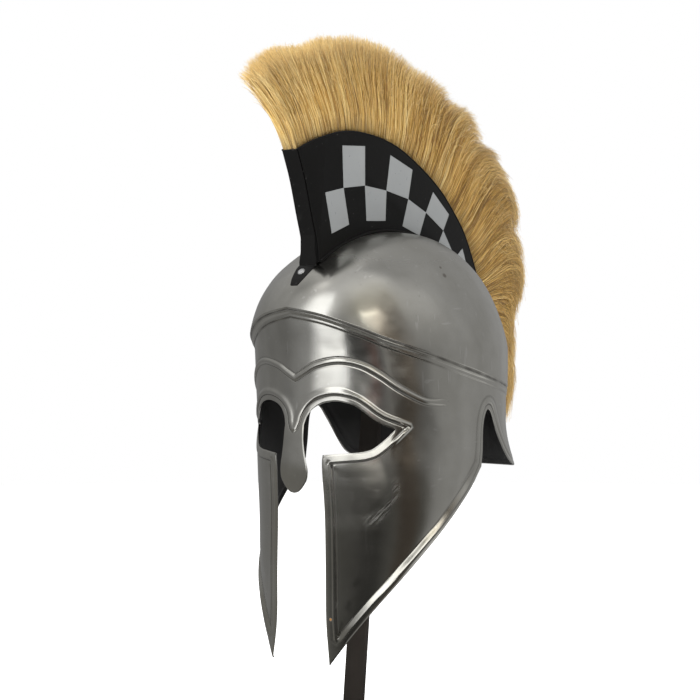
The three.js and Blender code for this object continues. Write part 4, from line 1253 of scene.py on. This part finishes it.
def window_card():
    """A tall lit window in front of the helmet, nearer than the rest of the room."""
    bm = bmesh.new()
    bmesh.ops.create_grid(bm, x_segments=1, y_segments=1, size=0.5)
    bmesh.ops.scale(bm, vec=(WINDOW["width"], WINDOW["height"], 1), verts=bm.verts)
    upright = Matrix.Rotation(math.radians(90), 3, "X")
    bmesh.ops.rotate(bm, cent=(0, 0, 0), matrix=upright, verts=bm.verts)
    bmesh.ops.translate(bm, vec=WINDOW["middle"], verts=bm.verts)
    paint = Paint("window_glow")
    x, _, z = paint.axes()
    glow = paint.clipped(x, -0.36, -0.06) * 0.87 + paint.clipped(x, -1.0, -0.25) * 0.13
    glow = glow * paint.clipped(x, 0.285, 0.175)
    glow = glow * paint.clipped(z, 2.0, 1.15) * paint.clipped(z, 0.085, 0.125)
    shaded = paint.clipped(z, 0.20, 0.30) * paint.clipped(z, 0.64, 0.50)
    glow = glow * (1 - shaded * 0.46) * (0.70 + paint.noise(7, 3, warp=0.4) * 0.6)
    glowing(bm, "window_card", paint, (0.97, 0.98, 1.0, 1.0), 2.0, glow.least(1.0))


# Each screen curved round the helmet: how far out, foot and head heights, the fade at both, how much
# its lit top adds, how bright it is at each degree round, and its plain and brown tints.
STRIP = {
    "reach": 0.55, "foot": 0.345, "head": 0.465, "fade": 0.02, "top": 0.0,
    "levels": [(-12, 0), (-4, 2.2), (66, 2.4), (80, 0)], "tints": ((1.0, 1.0, 0.98), (1.0, 1.0, 0.98)),
}
BENCH = {
    "reach": 0.33, "foot": -0.10, "head": 0.232, "fade": 0.022, "top": 1.0,
    "levels": [(-64, 0.20), (-30, 0.19), (-14, 0.17), (-4, 0.12), (6, 0.08), (22, 0.058), (30, 0.036),
               (44, 0.034), (50, 0.06), (57, 0.085), (66, 0.058), (76, 0.066), (84, 0.10), (89, 0.16),
               (94, 0.27)],
    "tints": ((1.02, 1.0, 0.94), (1.17, 0.98, 0.81)),
}
LIT_TOP = {"from": 10, "rise": 28, "fall": 7, "to": 52, "below_head": 0.034, "fade": 0.018}
BROWN = [(56, 0), (66, 1), (76, 1), (84, 0)]            # where the brown tint is


def curved_screen(name, screen):
    """A screen curved round the helmet, as bright as its levels say."""
    reach, foot, head, fade, levels = (screen[key] for key in ("reach", "foot", "head", "fade", "levels"))
    first, last = levels[0][0], levels[-1][0]
    bm = bmesh.new()
    shown, level, brown = (bm.verts.layers.float.new(key) for key in ("shown", "level", "brown"))
    turn = math.radians(first)
    x, y = reach * math.sin(turn), -reach * math.cos(turn)
    post = [bm.verts.new((x, y, z)) for z in np.linspace(foot, head, 49)]
    edges = [bm.edges.new(pair) for pair in zip(post[:-1], post[1:])]
    bmesh.ops.spin(bm, geom=post + edges, cent=(0, 0, 0), axis=(0, 0, 1), steps=70,
                   angle=math.radians(last - first))
    for v in bm.verts:
        around, z = math.degrees(math.atan2(v.co.x, -v.co.y)), v.co.z
        top = (ease((z - head + LIT_TOP["below_head"]) / LIT_TOP["fade"])
               * ease((around - LIT_TOP["from"]) / LIT_TOP["rise"])
               * ease((LIT_TOP["to"] - around) / LIT_TOP["fall"]))
        v[level] = float(table(levels, around) + screen["top"] * top)
        v[shown] = float(ease((z - foot) / fade) * ease((head - z) / fade)
                         * ease((around - first) / 6) * ease((last - around) / 8))
        v[brown] = float(table(BROWN, around))
    paint = Paint(name + "_glow")
    tint = paint.blend(paint.attribute("brown"), *screen["tints"])
    glowing(bm, name, paint, tint, paint.attribute("level"), paint.attribute("shown"))


# ---------------------------------------------------------------------------------------
# The whole helmet on its stand
# ---------------------------------------------------------------------------------------
bpy.context.scene.view_settings.view_transform = "Standard"
camera()
room()
floor()
window_card()
curved_screen("strip_light", STRIP)
curved_screen("dark_bench", BENCH)
for row in LAMPS:
    lamp(*row)

steel, inside_black, satin_black = polished_steel(), blackened_inside(), black_paint()
pale, hair, pale_rivet = pale_paint(), blond_hair(), rivet_metal()
stand_metal, board = stand_steel(), stand_board()

shell = helmet_shell(steel, inside_black)
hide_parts("helmet_shell")
pieces = [shell]

outline = panel_outline()
half = CREST["half"]
for side, name in ((1, "left"), (-1, "right")):
    panel = plate(outline, half - CREST["wall"], half, f"crest_plate_{name}", satin_black, side=side)
    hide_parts(f"crest_panel_{name}")
    cells = checks(side, f"crest_checks_{name}", pale)
    run = [(side * (half - TRIM["inset"]), y, z) for y, z in spline(CREST_ARC, 3.0)]
    edge = wire(run, TRIM["radius"], f"crest_edge_{name}", satin_black)
    run = [(side * (half - FOOT_WIRE["inset"]), y, dome_height(half, y) + FOOT_WIRE["lift"])
           for y in np.linspace(*FOOT_WIRE["run"])]
    foot = wire(run, FOOT_WIRE["radius"], f"crest_foot_{name}", satin_black)
    pieces += [panel, cells, edge, foot]

bed = plate(outline, -CREST["bed"], CREST["bed"], "crest_bed", satin_black, bevel=0)
pieces.append(bed)
core = plume_core("plume_heart", hair)
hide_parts("plume")
pieces.append(core)
for number in range(HAIR_PIECES):
    random = np.random.default_rng(50 + number)
    share = random.uniform(0, 1, HAIRS_A_PIECE)
    lane = np.clip(random.uniform(-1.05, 1.05, HAIRS_A_PIECE), -1, 1)
    tuft = hairs(f"plume_hair_{number + 1}", share, lane, hair, 90 + number)
    pieces.append(tuft)

for piece in pieces:
    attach(piece, "root")
    piece.visible_glossy = piece.name.startswith(("steel", "crest_checks", "crest_plate"))

finishes = {"crest_front_plate": satin_black, "crest_rear_plate": satin_black, "crest_rivet": pale_rivet,
            "stand_post": stand_metal, "stand_cap": stand_metal, "stand_foot": board}
for name, material in finishes.items():
    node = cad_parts[name]
    node.data.materials.clear()
    node.data.materials.append(material)
    node.visible_glossy = not name.startswith("crest")
